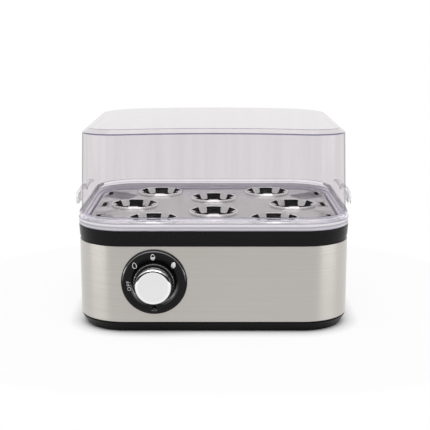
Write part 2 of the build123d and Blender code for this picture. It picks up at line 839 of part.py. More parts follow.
def make_fuse_lead():
    """From the thermostat's rear blade to the left wire of the fuse."""
    ty, tz = blade_pitch / 2, bar_top - blade_length
    wire_x, wire_z = fuse_wire_tip()
    low = lead_level + lead_tier
    points = [(0, ty, tz), (0, ty, low), (-wire_x, fuse_y, low), (-wire_x, fuse_y, wire_z)]
    return lead(points, (lead_tight_bend, lead_bend))


def make_element_lead():
    """From the right wire of the fuse to the right pin of the heating element."""
    wire_x, wire_z = fuse_wire_tip()
    pin_y, pin_z = element_pin_tip()
    low = lead_level + lead_tier
    leg = element_leg_offset
    points = [(wire_x, fuse_y, wire_z), (wire_x, fuse_y, low), (leg, pin_y, low), (leg, pin_y, pin_z)]
    return lead(points, (lead_bend, lead_bend))


def make_neutral_lead():
    """From the terminal block to the left pin of the heating element."""
    x, y, z = block_socket(1)
    pin_y, pin_z = element_pin_tip()
    leg = element_leg_offset
    points = [(x, y, z), (x, y, lead_level), (-leg, pin_y, lead_level), (-leg, pin_y, pin_z)]
    return lead(points, (lead_bend, lead_bend))


def fuse_wire_tip():
    """Distance from the middle and height at which a lead meets the fuse's wire."""
    return fuse_length / 2 + fuse_wire_length - lead_radius, spreader_bottom - fuse_radius - fuse_wire_radius


def element_pin_tip():
    """Distance behind the middle and height at which a lead meets the element's pin."""
    reach = (element_ring_radius + element_bend_radius) ** 2 - (element_leg_offset + element_bend_radius) ** 2
    tip = sqrt(reach) + element_leg_length + element_pin_length
    return tip - lead_radius, element_z - element_pin_radius


def make_earth_lead():
    """From the terminal block to the eye under the earth screw."""
    x, y, z = block_socket(2)
    eye_low = bar_bottom - 2 * lead_radius
    eye_radius = 2 * earth_screw_radius
    tail_y = eye_radius + 3 * lead_radius
    points = [(x, y, z), (x, y, lead_level), (earth_x, tail_y, lead_level), (earth_x, tail_y, eye_low)]
    neck_length = tail_y + lead_radius
    neck = Pos(0, neck_length / 2, 0) * block(2 * lead_radius, neck_length, eye_low, bar_bottom)
    eye = post(eye_radius, eye_low, bar_bottom) + neck - post(earth_screw_radius, eye_low, bar_bottom)
    return lead(points, (lead_bend, lead_bend)) + Pos(earth_x, 0, 0) * eye


nodes = {
    "lid": make_lid,
    "egg_tray": make_egg_tray,
    "upper_ring": make_collar,
    "steel_band": make_steel_band,
    "base_shell": make_base_shell,
    "rubber_feet": make_rubber_feet,
    "base_screws": make_base_screws,
    "heating_pan": make_heating_pan,
    "pan_gasket": make_pan_gasket,
    "heat_spreader": make_heat_spreader,
    "heating_element": make_heating_element,
    "clamp_bar": make_clamp_bar,
    "clamp_nuts": make_clamp_nuts,
    "bar_screws": make_bar_screws,
    "earth_screw": make_earth_screw,
    "thermostat": make_thermostat,
    "thermal_fuse": make_thermal_fuse,
    "fuse_clip": make_fuse_clip,
    "clip_rivets": make_clip_rivets,
    "dial_bezel": make_dial_bezel,
    "pilot_lens": make_pilot_lens,
    "pilot_lamp": make_pilot_lamp,
    "knob_core": make_knob_core,
    "knob_cap": make_knob_cap,
    "shaft_clip": make_shaft_clip,
    "timer_shaft": make_timer_shaft,
    "timer_body": make_timer_body,
    "timer_bracket": make_timer_bracket,
    "bracket_screws": make_bracket_screws,
    "cord_gland": make_cord_gland,
    "terminal_block": make_terminal_block,
    "live_lead": make_live_lead,
    "switched_lead": make_switched_lead,
    "neutral_lead": make_neutral_lead,
    "fuse_lead": make_fuse_lead,
    "element_lead": make_element_lead,
    "earth_lead": make_earth_lead,
}

os.makedirs("parts", exist_ok=True)
for name, make in nodes.items():
    save(name, make())
print("body centre at y =", round(body_y, 3), "top at z =", round(lid_top, 3))
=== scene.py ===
# %% [markdown]
# # Electric egg cooker
# A low cooker for eight eggs: a brushed steel band between a black base and a black collar, a timer dial in
# front, a dark water pan under a polished tray, and a clear lid over everything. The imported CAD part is
# loaded first and stays where it is. The pieces that can be seen are then drawn again as smooth surfaces
# around it, from the same sizes, so that both share one frame. Surfaces are worked out in millimetres about
# the middle of the body, because that is how such a product is drawn, and only the last step turns them
# into metres in the shared frame.

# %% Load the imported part
import json

import bpy
import numpy as np
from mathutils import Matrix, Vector
from mathutils.geometry import delaunay_2d_cdt


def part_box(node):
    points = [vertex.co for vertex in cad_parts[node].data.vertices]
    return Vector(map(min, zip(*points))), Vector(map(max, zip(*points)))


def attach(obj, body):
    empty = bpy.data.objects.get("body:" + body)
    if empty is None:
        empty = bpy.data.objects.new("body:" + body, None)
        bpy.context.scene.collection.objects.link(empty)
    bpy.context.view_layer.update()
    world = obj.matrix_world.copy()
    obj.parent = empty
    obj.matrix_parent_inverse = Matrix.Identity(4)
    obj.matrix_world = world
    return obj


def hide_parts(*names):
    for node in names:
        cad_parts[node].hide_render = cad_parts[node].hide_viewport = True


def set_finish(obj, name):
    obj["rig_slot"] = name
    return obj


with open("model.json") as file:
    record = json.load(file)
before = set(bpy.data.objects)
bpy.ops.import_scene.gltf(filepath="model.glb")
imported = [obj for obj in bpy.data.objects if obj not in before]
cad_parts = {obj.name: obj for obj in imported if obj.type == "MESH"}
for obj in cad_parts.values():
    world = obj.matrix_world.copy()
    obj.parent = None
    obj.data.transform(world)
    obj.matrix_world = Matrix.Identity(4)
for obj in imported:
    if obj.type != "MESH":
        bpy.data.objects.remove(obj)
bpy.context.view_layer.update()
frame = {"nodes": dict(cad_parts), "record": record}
MM = 0.001
band_low, band_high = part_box("steel_band")
body_middle = np.array([0.0, (band_low.y + band_high.y) / 2 / MM, 0.0])
print("nodes", len(frame["nodes"]), "body's middle, mm", body_middle.round(2))

# %% [markdown]
# ## Surfaces from rings
# Nearly every piece of this cooker is a profile carried round something: round the body's rounded-rectangle
# outline, round a hole, or along a bent strip. So one function joins rings of points into faces, and the
# others only have to say where the rings are. Each surface also gets two running distances, round the ring
# and along the profile, because brushing and turning marks follow them.


# %% Join rings into faces
def skin(rings, ends="open"):
    """Surface through closed rings of points, an array (rows, columns, 3).

    Faces look outwards where each ring turns anticlockwise round the direction in which the rings advance
    along the outside. ends says whether they stay "open", are "joined" to each other, or are closed by a
    point in the middle of the "start" ring, the "end" ring or both, "closed". Returns the points, the faces
    and the two running distances of each face's corners."""
    rows, columns = rings.shape[:2]
    row = np.arange(rows if ends == "joined" else rows - 1)[:, None]
    column = np.arange(columns)[None, :]
    next_row, next_column = (row + 1) % rows, (column + 1) % columns
    corners = [row * columns + column, row * columns + next_column]
    corners += [next_row * columns + next_column, next_row * columns + column]
    faces = np.stack(np.broadcast_arrays(*corners), axis=-1).reshape(-1, 4)

    round_step = np.linalg.norm(np.roll(rings, -1, axis=1) - rings, axis=2).max(axis=0)
    climb_step = np.linalg.norm(np.roll(rings, -1, axis=0) - rings, axis=2).max(axis=1)
    around = np.concatenate([[0.0], np.cumsum(round_step)])
    along = np.concatenate([[0.0], np.cumsum(climb_step)])
    pairs = [(around[column], along[row]), (around[column + 1], along[row])]
    pairs += [(around[column + 1], along[row + 1]), (around[column], along[row + 1])]
    travel = np.stack([np.stack(np.broadcast_arrays(*pair), axis=-1) for pair in pairs], axis=2)
    travel = travel.reshape(-1, 4, 2)

    points = rings.reshape(-1, 3)
    column = np.arange(columns)
    next_column = (column + 1) % columns
    nobody = np.full(columns, -1)
    for side, first, turn in (("start", 0, -1), ("end", (rows - 1) * columns, 1)):
        if ends not in (side, "closed"):
            continue
        middle = points[first:first + columns].mean(axis=0)
        reach = np.linalg.norm(points[first] - middle)
        rim = [first + column, first + next_column][::turn]
        fan = np.stack(rim + [np.full(columns, len(points)), nobody], axis=-1)
        level = along[0] if side == "start" else along[rows - 1]
        rim_travel = [(around[column], level + 0 * column), (around[column + 1], level + 0 * column)][::turn]
        tip = ((around[column] + around[column + 1]) / 2, level + turn * reach + 0 * column)
        fan_travel = np.stack([np.stack(pair, axis=-1) for pair in rim_travel + [tip, tip]], axis=1)
        points = np.concatenate([points, middle[None]])
        faces = np.concatenate([faces, fan])
        travel = np.concatenate([travel, fan_travel])
    return points, faces, travel


# %% [markdown]
# ## Rounded profiles
# Moulded and pressed parts have no knife edges. A profile is written as its few corners, and each corner is
# replaced by a short arc. A holding point close to each end of the arc keeps the flats beside it flat under
# smooth shading, so the highlight stays on the edge where a real one sits.


# %% Round a profile's corners
def ease(corners, radii, steps=5, hold=0.35, joined=True):
    """Profile (n, 2) with an arc of the given radius at each corner.

    With h half the angle between the two sides, an arc of radius r starts r / tan(h) from the corner and
    its centre lies r / sin(h) along the bisector. Returns the points, and 1 for those on an arc, else 0."""
    corners = np.asarray(corners, float)
    count = len(corners)
    radii = np.broadcast_to(np.asarray(radii, float), count).copy()
    if not joined:
        radii[[0, -1]] = 0.0
    to_next = np.roll(corners, -1, axis=0) - corners
    length = np.linalg.norm(to_next, axis=1)
    ahead = to_next / length[:, None]
    back = -np.roll(ahead, 1, axis=0)
    half = np.arccos(np.clip((back * ahead).sum(axis=1), -1, 1)) / 2
    reach = radii / np.tan(half)
    room = length - reach - np.roll(reach, -1)
    hold_ahead = np.minimum(hold, room / 3)
    hold_back = np.roll(hold_ahead, 1)
    bisector = (back + ahead) / np.maximum(np.linalg.norm(back + ahead, axis=1), 1e-9)[:, None]
    points, bend = [], []
    for i in range(count):
        if radii[i] == 0.0:
            points.append(corners[i:i + 1])
            bend.append([0.0])
            continue
        middle = corners[i] + bisector[i] * radii[i] / np.sin(half[i])
        start = corners[i] + back[i] * reach[i] - middle
        stop = corners[i] + ahead[i] * reach[i] - middle
        turn = np.pi - 2 * half[i]
        t = np.linspace(0, 1, steps)[:, None]
        arc = middle + (start * np.sin((1 - t) * turn) + stop * np.sin(t * turn)) / np.sin(turn)
        before = corners[i] + back[i] * (reach[i] + hold_back[i])
        after = corners[i] + ahead[i] * (reach[i] + hold_ahead[i])
        points.append(np.concatenate([before[None], arc, after[None]]))
        bend.append([0.0] + [1.0] * steps + [0.0])
    return np.concatenate(points), np.concatenate(bend)


# %% [markdown]
# ## The body's outline
# Base, band, collar, pan, tray and lid all share one rounded rectangle, drawn in by different amounts. Each
# point of the outline is a corner centre plus a radius in some direction. On the straight sides the centre
# slides from one corner to the next, so the same two arrays serve every inset and every corner radius.

# %% Outline
HALF_X, HALF_Y, CORNER = 98.0, 85.0, 35.0
CORNER_STEPS, FRONT_STEPS, SIDE_STEPS = 32, 28, 20


def outline_pattern():
    """For every point, where its corner's centre lies, as shares of its reach, and the way outwards."""
    turn = np.linspace(0, np.pi / 2, CORNER_STEPS)
    lean, out = [], []
    for quarter, steps in enumerate((SIDE_STEPS, FRONT_STEPS, SIDE_STEPS, FRONT_STEPS)):
        angle = quarter * np.pi / 2
        slide = np.linspace(-1, 1, steps)[1:-1]
        spin = np.array([[np.cos(angle), np.sin(angle)], [-np.sin(angle), np.cos(angle)]]).round()
        side = np.stack([np.ones_like(slide), slide], axis=-1) @ spin
        corner = np.broadcast_to(np.array([1.0, 1.0]) @ spin, (CORNER_STEPS, 2))
        lean += [side, corner]
        out += [np.broadcast_to(spin[0], side.shape)]
        out += [np.stack([np.cos(turn + angle), np.sin(turn + angle)], axis=-1)]
    return np.concatenate(lean), np.concatenate(out)


LEAN, OUT = outline_pattern()


def wrap(profile, radius=None):
    """Rings round the body for rows of (inset, height); unless given, corners get CORNER less the inset.

    A point lies at lean * (half size - inset - radius) + out * radius."""
    inset, height = np.asarray(profile, float).T[:, :, None]
    corner = CORNER - inset if radius is None else np.broadcast_to(radius, inset.shape[:1])[:, None]
    x = LEAN[:, 0] * (HALF_X - inset - corner) + OUT[:, 0] * corner
    y = LEAN[:, 1] * (HALF_Y - inset - corner) + OUT[:, 1] * corner
    return np.stack([x, y, height + 0 * x], axis=-1)


def draw_in(ring, shares):
    """Copies of a ring shrunk towards the body's middle, one for each share, at the ring's own height."""
    return ring[None] * np.stack([shares, shares, np.ones_like(shares)], axis=-1)[:, None]


print("outline points", len(LEAN))

# %% [markdown]
# ## Turned shapes
# Feet, knob, dial and gland are turned shapes: a profile of radius and height is carried round an axis.
# Blender's Screw modifier does the same to a drawn line; here it is one multiplication of the profile by a
# circle.


# %% Turned shapes
def circle(radius, steps=72):
    """Points (steps, 2) of a circle about the origin."""
    angle = np.arange(steps) / steps * 2 * np.pi
    return radius * np.stack([np.cos(angle), np.sin(angle)], axis=-1)


def turned(profile, steps=72):
    """Rings of revolution for rows of (radius, height): x = r cos a, y = r sin a, z = h."""
    profile = np.asarray(profile, float)
    flat = profile[:, :1, None] * circle(1.0, steps)[None]
    return np.concatenate([flat, np.broadcast_to(profile[:, None, 1:], flat.shape[:2] + (1,))], axis=-1)


# %% [markdown]
# ## Straps
# Tabs and lid ears are strips of sheet bent along a line. A curve with a flat bevel shape could draw them,
# but its end stays square. This strap has a rounded section that is set square to the line at every
# station, and near the tip both its width and its thickness run out in quarter circles.


# %% Straps
def strap(line, width, thickness, corner, edge, flare=0.0):
    """Closed strip of sheet along a line of (x, z) rows, its width along y, its end and edges rounded.

    At distance s from its start, of the length L, the strip is flare * (1 - s / L)^2 wider. Near the tip, at
    distance d from it, the half width loses r - sqrt(r^2 - (r - d)^2), r being the corner."""
    line = np.asarray(line, float)
    run = np.concatenate([[0.0], np.cumsum(np.linalg.norm(np.diff(line, axis=0), axis=1))])
    tip_steps = np.sin(np.linspace(0, np.pi / 2, 14))
    stations = np.concatenate([run[run < run[-1] - corner], run[-1] - corner * (1 - tip_steps)])
    x, z = np.interp(stations, run, line[:, 0]), np.interp(stations, run, line[:, 1])
    heading = np.stack([np.gradient(x, stations), np.gradient(z, stations)], axis=-1)
    heading /= np.linalg.norm(heading, axis=1, keepdims=True)
    left = run[-1] - stations
    half_width = width / 2 - corner + np.sqrt(corner**2 - np.clip(corner - left, 0, corner) ** 2)
    half_width += flare / 2 * (left / run[-1]) ** 2
    half_sheet = thickness / 2 - edge + np.sqrt(edge**2 - np.clip(edge - left, 0, edge) ** 2)
    angle = np.linspace(0, np.pi / 2, 5)
    signs = np.repeat([[1, 1], [-1, 1], [-1, -1], [1, -1]], 5, axis=0)
    angle = np.concatenate([angle, angle + np.pi / 2, angle + np.pi, angle + 1.5 * np.pi])
    round_off = np.minimum(edge, 0.8 * half_sheet)[:, None]
    across = signs[:, 0] * (half_width[:, None] - round_off) + round_off * np.cos(angle)
    lift = signs[:, 1] * (half_sheet[:, None] - round_off) + round_off * np.sin(angle)
    along_x, along_z = x[:, None] - lift * heading[:, 1:], z[:, None] + lift * heading[:, :1]
    return outward(skin(np.stack([along_x, across, along_z], axis=-1), "closed"))


def outward(surface):
    """The same closed surface with its faces turned so that the enclosed volume is positive."""
    points, faces, travel = surface
    a, b, c = points[faces[:, 0]], points[faces[:, 1]], points[faces[:, 2]]
    volume = np.einsum("ij,ij->i", a, np.cross(b, c)).sum()
    d = points[np.where(faces[:, 3] < 0, faces[:, 0], faces[:, 3])]
    volume += np.einsum("ij,ij->i", a, np.cross(c, d)).sum()
    return surface if volume > 0 else flipped(surface)


def flipped(surface):
    """The same surface seen from its other side."""
    points, faces, travel = surface
    order = np.where(faces[:, 3:] < 0, [2, 1, 0, 3], [3, 2, 1, 0])
    travel = np.take_along_axis(travel, order[:, :, None], axis=1)
    return points, np.take_along_axis(faces, order, axis=1), travel


# %% [markdown]
# ## Flat plates with holes
# The tray's top, the dial's face and the base's underside are flat plates with holes. A polygon filler cuts
# them into triangles between the same rings that the neighbouring surfaces end on, so nothing has to be cut
# out afterwards and no gap is left. Copies of a shape are turned and moved by one more helper.


# %% Plates, and moving a surface
def plate(loops, height):
    """Flat face at a height, with the first loop of (x, y) rows as its outline and the others as holes.

    The loops bulge outwards everywhere, so a triangle with all its corners on one hole's loop lies in it."""
    flat = np.concatenate(loops)
    edges = []
    for start, loop in zip(np.cumsum([0] + [len(loop) for loop in loops]), loops):
        number = np.arange(len(loop))
        edges.append(start + np.stack([number, (number + 1) % len(loop)], axis=-1))
    inside_outline, same_point = 1, 1e-5
    cut = delaunay_2d_cdt(flat.tolist(), np.concatenate(edges).tolist(), [], inside_outline, same_point)
    own = np.array([sources[0] for sources in cut[3]])
    cuts = own[np.array(cut[2])]
    loop_of = np.repeat(np.arange(len(loops)), [len(loop) for loop in loops])[cuts]
    in_hole = (loop_of[:, 0] > 0) & (loop_of == loop_of[:, :1]).all(axis=1)
    cuts = cuts[~in_hole]
    side_a, side_b = flat[cuts[:, 1]] - flat[cuts[:, 0]], flat[cuts[:, 2]] - flat[cuts[:, 0]]
    area = side_a[:, 0] * side_b[:, 1] - side_a[:, 1] * side_b[:, 0]
    cuts = np.where(area[:, None] < 0, cuts[:, ::-1], cuts)
    faces = np.concatenate([cuts, np.full((len(cuts), 1), -1)], axis=1)
    travel = flat[np.where(faces < 0, 0, faces)]
    return np.concatenate([flat, np.full((len(flat), 1), float(height))], axis=1), faces, travel


def moved(surface, x=0.0, y=0.0, z=0.0, turn=0.0):
    """The same surface turned about its own z axis by an angle in degrees, then shifted."""
    points, faces, travel = surface
    angle = np.radians(turn)
    spin = np.array([[np.cos(angle), np.sin(angle), 0], [-np.sin(angle), np.cos(angle), 0], [0, 0, 1]])
    return points @ spin + [x, y, z], faces, travel


# %% [markdown]
# ## From surfaces to pieces
# A piece is one mesh made of several surfaces that end on the same rings, so equal points are welded into
# one. It rides on the CAD body it belongs to, stands for the CAD node it shows, and takes its finish from
# that node's material slot in the record.

# %% Make a piece
slot_of = {part["node"]: part["material_slot"] for part in frame["record"]["subparts"]}
bodies = frame["record"]["behaviour"]["bodies"]
body_of = {node: body for body, members in bodies.items() for node in members}
pieces = {}


def piece(name, surfaces, node, marks=None, stands_in=True):
    """Mesh object in the shared frame from surfaces in millimetres, with a CAD node's body and slot.

    marks holds named values for each point, kept as attributes for the finishes. stands_in says whether the
    piece takes the node's place in the pictures."""
    starts = np.cumsum([0] + [len(surface[0]) for surface in surfaces])
    points = np.concatenate([surface[0] for surface in surfaces])
    faces = [np.where(surface[1] < 0, -1, surface[1] + start) for surface, start in zip(surfaces, starts)]
    faces = np.concatenate(faces)
    travel = np.concatenate([surface[2] for surface in surfaces])
    _, keep, same = np.unique(points.round(4), axis=0, return_index=True, return_inverse=True)
    faces = np.where(faces < 0, -1, same.ravel()[faces])
    used = faces >= 0
    mesh = bpy.data.meshes.new(name)
    mesh.vertices.add(len(keep))
    mesh.vertices.foreach_set("co", ((points[keep] + body_middle) * MM).ravel())
    mesh.loops.add(int(used.sum()))
    mesh.loops.foreach_set("vertex_index", faces[used])
    mesh.polygons.add(len(faces))
    mesh.polygons.foreach_set("loop_start", np.concatenate([[0], np.cumsum(used.sum(axis=1))[:-1]]))
    mesh.update(calc_edges=True)
    mesh.uv_layers.new(name="travel").data.foreach_set("uv", (travel[used] * MM).ravel())
    mesh.polygons.foreach_set("use_smooth", np.ones(len(faces), bool))
    for mark, values in (marks or {}).items():
        mesh.attributes.new(mark, "FLOAT", "POINT").data.foreach_set("value", values[keep])
    mesh.validate()
    made = bpy.data.objects.new(name, mesh)
    bpy.context.scene.collection.objects.link(made)
    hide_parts(*([node] if stands_in else []))
    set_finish(made, slot_of[node])
    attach(made, body_of[node])
    pieces[name] = made
    size = np.ptp(points, axis=0).round(1)
    print(f"{name}: {len(keep)} points, {len(faces)} faces, {size} mm")
    return made


# %% [markdown]
# ## Base shell
# The black base is drawn in towards the table, so the cooker seems to float on a dark gap. Its upstand
# carries the steel band, and a fine groove is left under the band's lower edge, which shows as a dark joint
# line. The sides could be a scaled cube with bevels, but a profile carried round the outline keeps each
# inset exact.

# %% Sides of the base
BASE_LOW, BASE_TOP, GROOVE = 0.4, 8.0, 0.7
SOLE_INSET, SIDE_INSET = 4.5, 0.5
UPSTAND_INSET, UPSTAND_INNER, UPSTAND_TOP = 1.4, 3.4, 13.6
FLOOR_INSET, BASE_FLOOR = 5.69, 2.6
base_corners = [
    (6.2, BASE_LOW),
    (SOLE_INSET, BASE_LOW),
    (SIDE_INSET, BASE_TOP - GROOVE),
    (UPSTAND_INSET, BASE_TOP - GROOVE),
    (UPSTAND_INSET, UPSTAND_TOP),
    (UPSTAND_INNER, UPSTAND_TOP),
    (UPSTAND_INNER, 8.6),
    (FLOOR_INSET, BASE_FLOOR),
    (9.0, BASE_FLOOR),
]
base_profile, _ = ease(base_corners, [0, 0.5, 0.45, 0.1, 0.3, 0.3, 1.0, 1.0, 0], joined=False)
base_rings = wrap(base_profile)
floor_shares = np.array([0.8, 0.5, 0.2])
base_rings = np.concatenate([base_rings, draw_in(base_rings[-1], floor_shares)])
print("rings of the base's sides and floor", len(base_rings))

# %% [markdown]
# The underside is a plate with pockets for four pads and four screws. It is filled between the outline and
# the pockets' rims, so that the whole shell is one closed skin.


# %% Underside of the base
def corner_copies(x, y):
    """The four places of something that stands in every corner."""
    return [(sx * x, sy * y) for sx in (-1, 1) for sy in (-1, 1)]


FOOT_X, FOOT_Y = 66.0, 53.0
SCREW_X, SCREW_Y = 80.32, 67.32
PAD_POCKET_RADIUS, PAD_POCKET_ROOF = 7.2, 2.0
SCREW_POCKET_RADIUS, SCREW_POCKET_ROOF = 3.2, 2.4
pocket_list = [(place, PAD_POCKET_RADIUS, PAD_POCKET_ROOF) for place in corner_copies(FOOT_X, FOOT_Y)]
pocket_list += [(place, SCREW_POCKET_RADIUS, SCREW_POCKET_ROOF) for place in corner_copies(SCREW_X, SCREW_Y)]
pockets = []
pocket_loops = [base_rings[0, :, :2]]
for (x, y), radius, roof in pocket_list:
    pocket_profile = [(0.5 * radius, roof), (radius, roof), (radius, BASE_LOW)]
    pockets.append(moved(skin(turned(pocket_profile), "start"), x, y))
    pocket_loops.append(circle(radius) + [x, y])
base_surfaces = [skin(base_rings, "end"), flipped(plate(pocket_loops, BASE_LOW))] + pockets
piece("base_body", base_surfaces, "base_shell")

# %% [markdown]
# ## Rubber pads
# Four round pads stand a little proud of the base. They are moulded, so the edge on the table is softly
# rounded. A turned profile makes one pad, and four moved copies make the piece.

# %% Rubber pads
PAD_RADIUS, PAD_HEIGHT = 7.0, 2.0
pad_corners = [(3.0, 0.0), (PAD_RADIUS, 0.0), (PAD_RADIUS, PAD_HEIGHT), (3.0, PAD_HEIGHT)]
pad_profile, _ = ease(pad_corners, [0, 0.45, 0.2, 0], joined=False)
pad = skin(turned(pad_profile), "closed")
piece("rubber_pads", [moved(pad, x, y) for x, y in corner_copies(FOOT_X, FOOT_Y)], "rubber_feet")

# %% [markdown]
# ## Steel band
# A strip of stainless steel is bent round the body and brushed along its length. A ring of faces with a
# Solidify modifier would do, but its edges would be sharp. Here a thin closed section with rounded edges is
# carried round the outline, and the running distances guide the brushing later.

# %% Steel band
BAND_TOP, BAND_INSET, BAND_SHEET = 62.8, 0.5, 0.7
band_inner = BAND_INSET + BAND_SHEET
band_corners = [(BAND_INSET, BASE_TOP), (BAND_INSET, BAND_TOP)]
band_corners += [(band_inner, BAND_TOP), (band_inner, BASE_TOP)]
band_profile, _ = ease(band_corners, 0.22, steps=4)
piece("band_skin", [skin(wrap(band_profile), "joined")], "steel_band")

# %% [markdown]
# ## Collar
# The black collar hides the band's upper edge with a narrow recessed neck, widens to the full outline under
# the lid, and carries the pan on a ledge inside. The same outline as the band's keeps the joint between
# them even all round. The ledge's opening has rounder corners, so the corner radius changes from ring to
# ring. Four posts inside take the long screws from below.

# %% Collar
NECK_INSET, NECK_TOP, COLLAR_TOP, RIM_INNER = 0.9, 65.7, 73.8, 3.2
LEDGE_INSET, LEDGE_TOP, LEDGE_LOW, LEDGE_CORNER = 11.4, 69.5, 67.1, 43.1
SPIGOT_INSET, SPIGOT_INNER, SPIGOT_LOW = 1.4, 3.4, 57.4
collar_corners = [
    (SPIGOT_INSET, SPIGOT_LOW),
    (SPIGOT_INSET, BAND_TOP),
    (NECK_INSET, BAND_TOP),
    (NECK_INSET, NECK_TOP),
    (0.5, NECK_TOP),
    (0.0, COLLAR_TOP),
    (RIM_INNER, COLLAR_TOP),
    (RIM_INNER, LEDGE_TOP),
    (LEDGE_INSET, LEDGE_TOP),
    (LEDGE_INSET, LEDGE_LOW),
    (SPIGOT_INNER, LEDGE_LOW),
    (SPIGOT_INNER, SPIGOT_LOW),
]
collar_radii = [0.3, 0.08, 0.12, 0.12, 0.15, 0.6, 0.4, 0.4, 0.4, 0.4, 0.4, 0.3]
collar_profile, _ = ease(collar_corners, collar_radii)
opening_share = np.clip((collar_profile[:, 0] - SPIGOT_INNER) / (LEDGE_INSET - SPIGOT_INNER), 0, 1)
collar_radius = (CORNER - collar_profile[:, 0]) * (1 - opening_share) + LEDGE_CORNER * opening_share
POST_RADIUS, POST_BORE, POST_LOW, POST_TOP = 3.6, 1.5, 8.0, 67.4
post_corners = [(POST_BORE, POST_LOW), (POST_RADIUS, POST_LOW)]
post_corners += [(POST_RADIUS, POST_TOP), (POST_BORE, POST_TOP)]
post_profile, _ = ease(post_corners, [0, 0.3, 0.1, 0], joined=False)
posts = [moved(skin(turned(post_profile, 48), "closed"), x, y) for x, y in corner_copies(SCREW_X, SCREW_Y)]
piece("collar", [skin(wrap(collar_profile, collar_radius), "joined")] + posts, "upper_ring")

# %% [markdown]
# ## Pan and its seal
# The deep-drawn pan hangs on its flange: sloping sides, a rounded foot, and a round well over the heater
# where the measured water stands. A smoothed cage could give such a soft shape, but it would drift from the
# measures. Between the foot and the well the rings change from the rounded rectangle to a circle, point by
# point along straight lines from the middle.

# %% Pan
PAN_SHEET, WELL_RADIUS, WELL_DEPTH = 0.8, 54.0, 2.0


def pan_side(offset):
    """Rings of one face of the pan: the upper face for offset 0, the lower face one sheet below it.

    The rows are inset, height and corner radius, from the flange's edge down to the foot of the side."""
    rows = np.array([
        [3.6, 71.3 - offset, 31.4],
        [12.4 + 1.2 * offset, 71.3 - offset, 42.1 - 0.6 * offset],
        [12.8 - offset, 70.9 - offset, 41.7 + offset],
        [15.8 - offset, 63.3 - offset, 38.7 + offset],
        [16.3 - offset, 62.2 - offset, 38.2 + offset],
        [17.4 - offset, 61.7 - offset, 37.1 + offset],
    ])
    profile = np.concatenate([np.linspace(rows[0], rows[1], 3)[:-1], rows[1:3]])
    profile = np.concatenate([profile, np.linspace(rows[2], rows[3], 4)[1:], rows[4:]])
    side = wrap(profile[:, :2], profile[:, 2])
    foot = side[-1]
    bearing = np.arctan2(foot[:, 1], foot[:, 0])
    well_radius = WELL_RADIUS + offset
    rim = np.stack([well_radius * np.cos(bearing), well_radius * np.sin(bearing), foot[:, 2]], axis=-1)
    floor = foot + (rim - foot) * np.array([0.35, 0.7, 0.94, 1.0])[:, None, None]
    share = np.array([1.0, 0.996, 0.985, 0.97, 0.94, 0.7, 0.4, 0.1])
    drop = -WELL_DEPTH * np.array([0.075, 0.3, 0.75, 0.95, 1.0, 1.0, 1.0, 1.0])
    well = draw_in(rim, share) + np.array([0.0, 0.0, 1.0]) * drop[:, None, None]
    return np.concatenate([side, floor, well])


pan_top, pan_under = pan_side(0.0), pan_side(PAN_SHEET)
piece("water_pan", [skin(np.concatenate([pan_under[::-1], pan_top]), "closed")], "heating_pan")

# %% [markdown]
# The seal between the flange and the collar's ledge is a flat silicone ring. Its corner radius changes from
# that of the outline outside to that of the ledge's opening inside.

# %% Seal of the pan
SEAL_INSET, SEAL_SHEET = 4.0, 1.0
seal_top = LEDGE_TOP + SEAL_SHEET
seal_corners = [(SEAL_INSET, LEDGE_TOP), (SEAL_INSET, seal_top)]
seal_corners += [(LEDGE_INSET, seal_top), (LEDGE_INSET, LEDGE_TOP)]
gasket_profile, _ = ease(seal_corners, 0.2)
seal_corner_radii = [CORNER - SEAL_INSET, LEDGE_CORNER]
gasket_radius = np.interp(gasket_profile[:, 0], [SEAL_INSET, LEDGE_INSET], seal_corner_radii)
piece("pan_seal", [skin(wrap(gasket_profile, gasket_radius), "joined")], "pan_gasket")

# %% [markdown]
# ## Egg tray
# The tray is pressed from polished sheet: a turned-down edge, six slots for steam, and eight holes whose
# raised rims carry five arched tabs each, which spring against the egg. A solid with boolean cuts would do
# too, but it leaves long thin triangles that show in a mirror finish. Here all the surfaces end on shared
# rings, so after welding the sheet is one closed skin with the tabs standing in it. First come the rings
# that repeat.

# %% Rims and slots of the tray
TRAY_TOP, TRAY_SHEET = 76.2, 0.6
EGG_PLACES = [(-61.5, 0.0), (61.5, 0.0), (0.0, -28.5), (0.0, 28.5)] + corner_copies(44.2, 55.0)
SLOT_X, SLOT_SET_BACK, SLOT_PITCH = 85.2, 4.0, 47.5
SLOT_PLACES = [(sx * SLOT_X, SLOT_SET_BACK + sy * SLOT_PITCH) for sx in (-1, 1) for sy in (-1, 0, 1)]
RIM_REACH, RIM_FOOT, CREST_RADIUS, CREST_RISE = 19.3, 18.7, 17.85, 1.56
rim_corners = [(RIM_REACH, 0.0), (RIM_FOOT, 0.0), (CREST_RADIUS, CREST_RISE), (17.1, 1.2)]
rim_corners += [(18.3, -TRAY_SHEET), (RIM_REACH, -TRAY_SHEET)]
rim_profile, _ = ease(rim_corners, [0, 0.35, 0.2, 0.2, 0.35, 0], hold=0.1, joined=False)
rim = skin(turned(rim_profile))
SLOT_STEPS, SLOT_END_RADIUS, SLOT_END_Y = 24, 1.7, 6.8
upper_half = np.arange(SLOT_STEPS)[:, None] < SLOT_STEPS / 2
slot_loop = circle(SLOT_END_RADIUS, SLOT_STEPS) + np.where(upper_half, [0.0, SLOT_END_Y], [0.0, -SLOT_END_Y])
slot_ring = np.concatenate([slot_loop, np.zeros((SLOT_STEPS, 1))], axis=1)
slot_wall = skin(np.stack([slot_ring, slot_ring - [0, 0, TRAY_SHEET]]))
print("eggs", len(EGG_PLACES), "slots", len(SLOT_PLACES))

